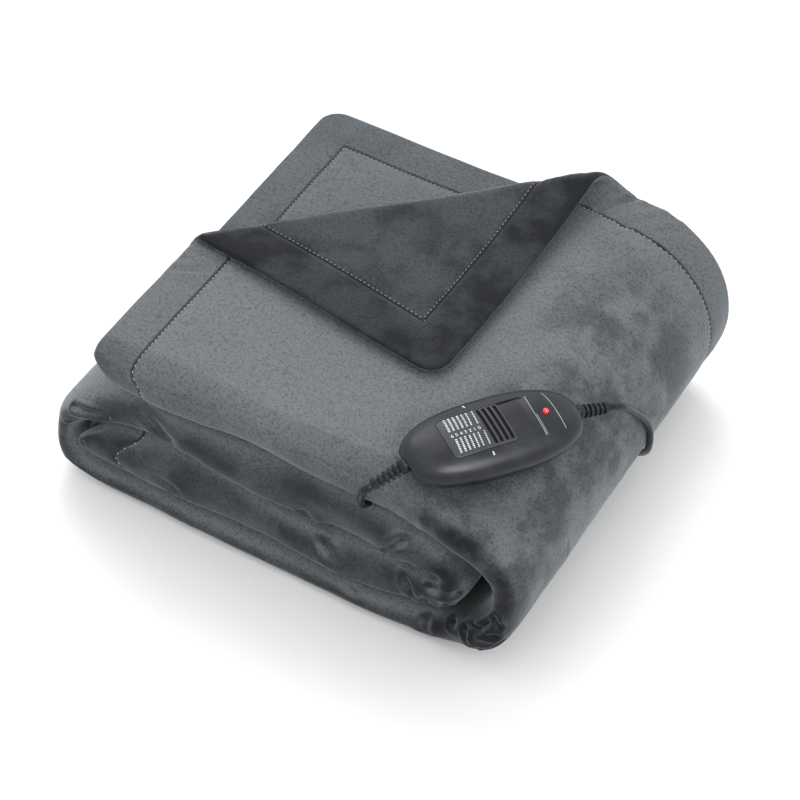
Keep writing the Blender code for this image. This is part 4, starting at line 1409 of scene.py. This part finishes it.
def paintPlush():
    paint = Paint(
        "plush", (0.12, 0.13, 0.14), 0.85, Sheen_Weight=0.35, Sheen_Roughness=0.35,
        Sheen_Tint=(0.86, 0.91, 0.96, 1), Specular_IOR_Level=0.10,
    )
    broad = paint.cloudy(8.5, 3.0, 0.55)
    patch = paint.cloudy(30.0, 3.0, 0.60)
    grain = paint.cloudy(560.0, 2.0, 0.65)
    tuft = paint.cloudy(1500.0, 1.0, 0.5)
    # the pile lies the other way over the right shoulder, in soft patches
    x = paint.node("SeparateXYZ", {}, {"Vector": paint.place()}, 0)
    y = paint.node("SeparateXYZ", {}, {"Vector": paint.place()}, 1)
    shoulder = x.band(0.080, 0.140) * (1 - y.band(0.060, 0.150)) * patch.band(0.36, 0.62)
    # the cloth's darkness attribute: the pile's lie, with painted shade
    napAndShade = paint.node("Attribute", {"attribute_name": "napAndShadeDepth"}, {}, "Fac")
    swirl = (patch * 0.6 + broad * 0.4).band(0.38, 0.62) * (napAndShade.band(0.05, 0.5) * 0.16 + 0.05)
    openedAndShaded = napAndShade * 0.94 + (shoulder * 0.50 + x.band(0.085, 0.165) * 0.10) * (1 - napAndShade) + swirl
    base = paint.blend((0.122, 0.136, 0.147), (0.012, 0.013, 0.016), openedAndShaded)
    speckle = (grain * 0.62 + tuft * 0.38).band(0.30, 0.70)
    base = paint.blend(base, (0.240, 0.255, 0.265), speckle * 0.26 * (1.10 - openedAndShaded))
    base = paint.blend(base, (0.012, 0.013, 0.015), (1 - grain.band(0.32, 0.52)) * 0.34)
    place = paint.node("Attribute", {"attribute_name": "clothPlace"}, {}, "Vector")
    inside = paint.node("SeparateXYZ", {}, {"Vector": place}, 2)
    # painted shade along the stitch groove
    grooveShade = 1 - (inside - cloth["hemBand"]).size().band(0.0003, 0.0022)
    paint.set("Base Color", paint.blend(base, (0.016, 0.018, 0.020), grooveShade * 0.75))
    paint.set("Roughness", 0.78 + openedAndShaded * 0.14)
    paint.set("Normal", paint.bump(grain * 0.6 + tuft * 0.3 + patch * 0.5, 0.60, 0.0012))
    return paint.material


def paintPlastic(name, dark, light, roughness, texture):
    paint = Paint(name, light, roughness, Specular_IOR_Level=0.26)
    grain = paint.cloudy(2600.0, 2.0, 0.6)
    wear = paint.cloudy(60.0, 4.0, 0.6)
    paint.set("Base Color", paint.blend(dark, light, wear.band(0.25, 0.75)))
    paint.set("Roughness", roughness - 0.05 + 0.12 * wear.band(0.3, 0.7))
    paint.set("Normal", paint.bump(grain, texture, 0.00012))
    return paint.material


def paintRubber(name, dark, light, roughness):
    paint = Paint(name, dark, roughness, Specular_IOR_Level=0.14)
    streak = paint.cloudy(220.0, 3.0, 0.6)
    dust = paint.cloudy(900.0, 2.0, 0.7)
    paint.set("Base Color", paint.blend(dark, light, streak.band(0.35, 0.75)))
    paint.set("Roughness", roughness - 0.06 + 0.14 * streak)
    paint.set("Normal", paint.bump(dust, 0.25, 0.0002))
    return paint.material


def paintThread():
    paint = Paint("thread", (0.50, 0.52, 0.54), 0.45, Sheen_Weight=0.3, Sheen_Roughness=0.4)
    twist = paint.cloudy(1500.0, 2.0, 0.6)
    paint.set("Base Color", paint.blend((0.20, 0.22, 0.23), (0.44, 0.46, 0.48), twist))
    paint.set("Normal", paint.bump(twist, 0.6, 0.0003))
    return paint.material


def paintPrint():
    paint = Paint("printed_marks", (0.60, 0.62, 0.63), 0.50)
    worn = paint.cloudy(900.0, 3.0, 0.6)
    paint.set("Base Color", paint.blend(
        (0.42, 0.44, 0.45), (0.78, 0.80, 0.81), worn.band(0.35, 0.65)
    ))
    return paint.material


def paintLamp():
    paint = Paint(
        "lamp_lens", (0.80, 0.01, 0.02), 0.10, Coat_Weight=1.0, Coat_Roughness=0.04,
        Emission_Strength=0.55,
    )
    glow = paint.cloudy(700.0, 1.0, 0.4)
    paint.set("Emission Color", paint.blend(
        (0.55, 0.00, 0.00), (1.0, 0.03, 0.02), glow.band(0.3, 0.7)
    ))
    return paint.material


def paintMetal():
    paint = Paint("pin_metal", (0.72, 0.72, 0.70), 0.22, Metallic=1.0)
    drawn = paint.cloudy(400.0, 3.0, 0.6, paint.stretched((0.15, 1, 1)))
    paint.set("Roughness", 0.16 + 0.16 * drawn)
    paint.set("Normal", paint.bump(drawn, 0.1, 0.0001))
    return paint.material


# Darker and lighter colour, roughness, and for a plastic the strength of its grain
plastics = {
    "shell_plastic": ((0.010, 0.012, 0.015), (0.018, 0.021, 0.025), 0.32, 0.30),
    "slide_plastic": ((0.030, 0.033, 0.037), (0.044, 0.048, 0.052), 0.36, 0.30),
    # near-black painted shade for the slide's slots
    "slot_shade": ((0.002, 0.002, 0.003), (0.004, 0.004, 0.005), 0.90, 0.30),
    # a darker copy of the shell's plastic: painted shade on the handset's lower half
    "shell_under_shade": ((0.003, 0.004, 0.005), (0.007, 0.008, 0.010), 0.45, 0.30),
    "cover_lines": ((0.22, 0.24, 0.25), (0.36, 0.38, 0.39), 0.35, 0.20),
    "plug_plastic": ((0.018, 0.019, 0.021), (0.030, 0.032, 0.034), 0.42, 0.35),
}
rubbers = {
    "boot_rubber": ((0.012, 0.013, 0.015), (0.030, 0.032, 0.036), 0.36),
    "cord_sleeve": ((0.010, 0.011, 0.013), (0.022, 0.024, 0.026), 0.26),
    "tie_strap": ((0.012, 0.012, 0.013), (0.026, 0.026, 0.028), 0.70),
}
materials = {
    "plush": paintPlush(), "thread": paintThread(), "printed_marks": paintPrint(),
    "lamp_lens": paintLamp(), "pin_metal": paintMetal(),
}
for name, values in plastics.items():
    materials[name] = paintPlastic(name, *values)
for name, values in rubbers.items():
    materials[name] = paintRubber(name, *values)

painted = {
    "plush": [blanket], "thread": [hemStitches], "shell_under_shade": [lowerShell],
    "shell_plastic": [upperShell], "slide_plastic": [heatSlide], "slot_shade": [heatSlide],
    "printed_marks": [slideScale, slideNumbers, indexMarks], "cover_lines": [coverLines],
    "lamp_lens": [powerLight], "boot_rubber": [heaterBoot, mainsBoot],
    "plug_plastic": [plugBoot, plugBody, pinSleeves], "pin_metal": [pinContacts],
    "tie_strap": [coilStrap], "cord_sleeve": [heaterLead, mainsLead],
}
for name, items in painted.items():
    for item in items:
        item.data.materials.append(materials[name])
print("materials painted")


tuple(heaterStart - rollCorner)
tuple(mainsStart - rollCorner)


# Studio: a pale floor, a broad soft light from behind on the left, and a bright surround
studio = {
    "floorSize": 8.0, "floorColour": (0.90, 0.90, 0.90), "surround": 1.26,
}
lights = {
    "key": {"place": Vector((-0.9, 1.3, 2.2)), "size": 1.6, "power": 26.0},
    "fill": {"place": Vector((1.6, -1.2, 1.6)), "size": 1.6, "power": 2.0},
    "glint": {"place": Vector((1.28, -0.08, 1.78)), "size": 0.95, "power": 30.0},
}


def makeFloor():
    bm = bmesh.new()
    bmesh.ops.create_grid(bm, x_segments=1, y_segments=1, size=studio["floorSize"] / 2)
    mesh = bpy.data.meshes.new("studio_floor")
    bm.to_mesh(mesh)
    bm.free()
    floor = bpy.data.objects.new("studio_floor", mesh)
    scene.collection.objects.link(floor)
    floor.data.materials.append(Paint("studio_floor", studio["floorColour"], 0.9).material)


def makeLight(name, place, size, power):
    data = bpy.data.lights.new(name, "AREA")
    data.shape = "DISK"
    data.size = size
    data.energy = power
    light = bpy.data.objects.new(name, data)
    light.location = place
    light.rotation_euler = (-place).to_track_quat("-Z", "Y").to_euler()
    scene.collection.objects.link(light)
    return light


makeFloor()
made = {name: makeLight(name, **light) for name, light in lights.items()}
made["glint"].visible_diffuse = False    # it shows in reflections only
world = bpy.data.worlds.new("surround")
world.use_nodes = True
background = world.node_tree.nodes["Background"]
background.inputs["Color"].default_value = (1, 1, 1, 1)
background.inputs["Strength"].default_value = studio["surround"]
scene.world = world
print("floor and lights set")
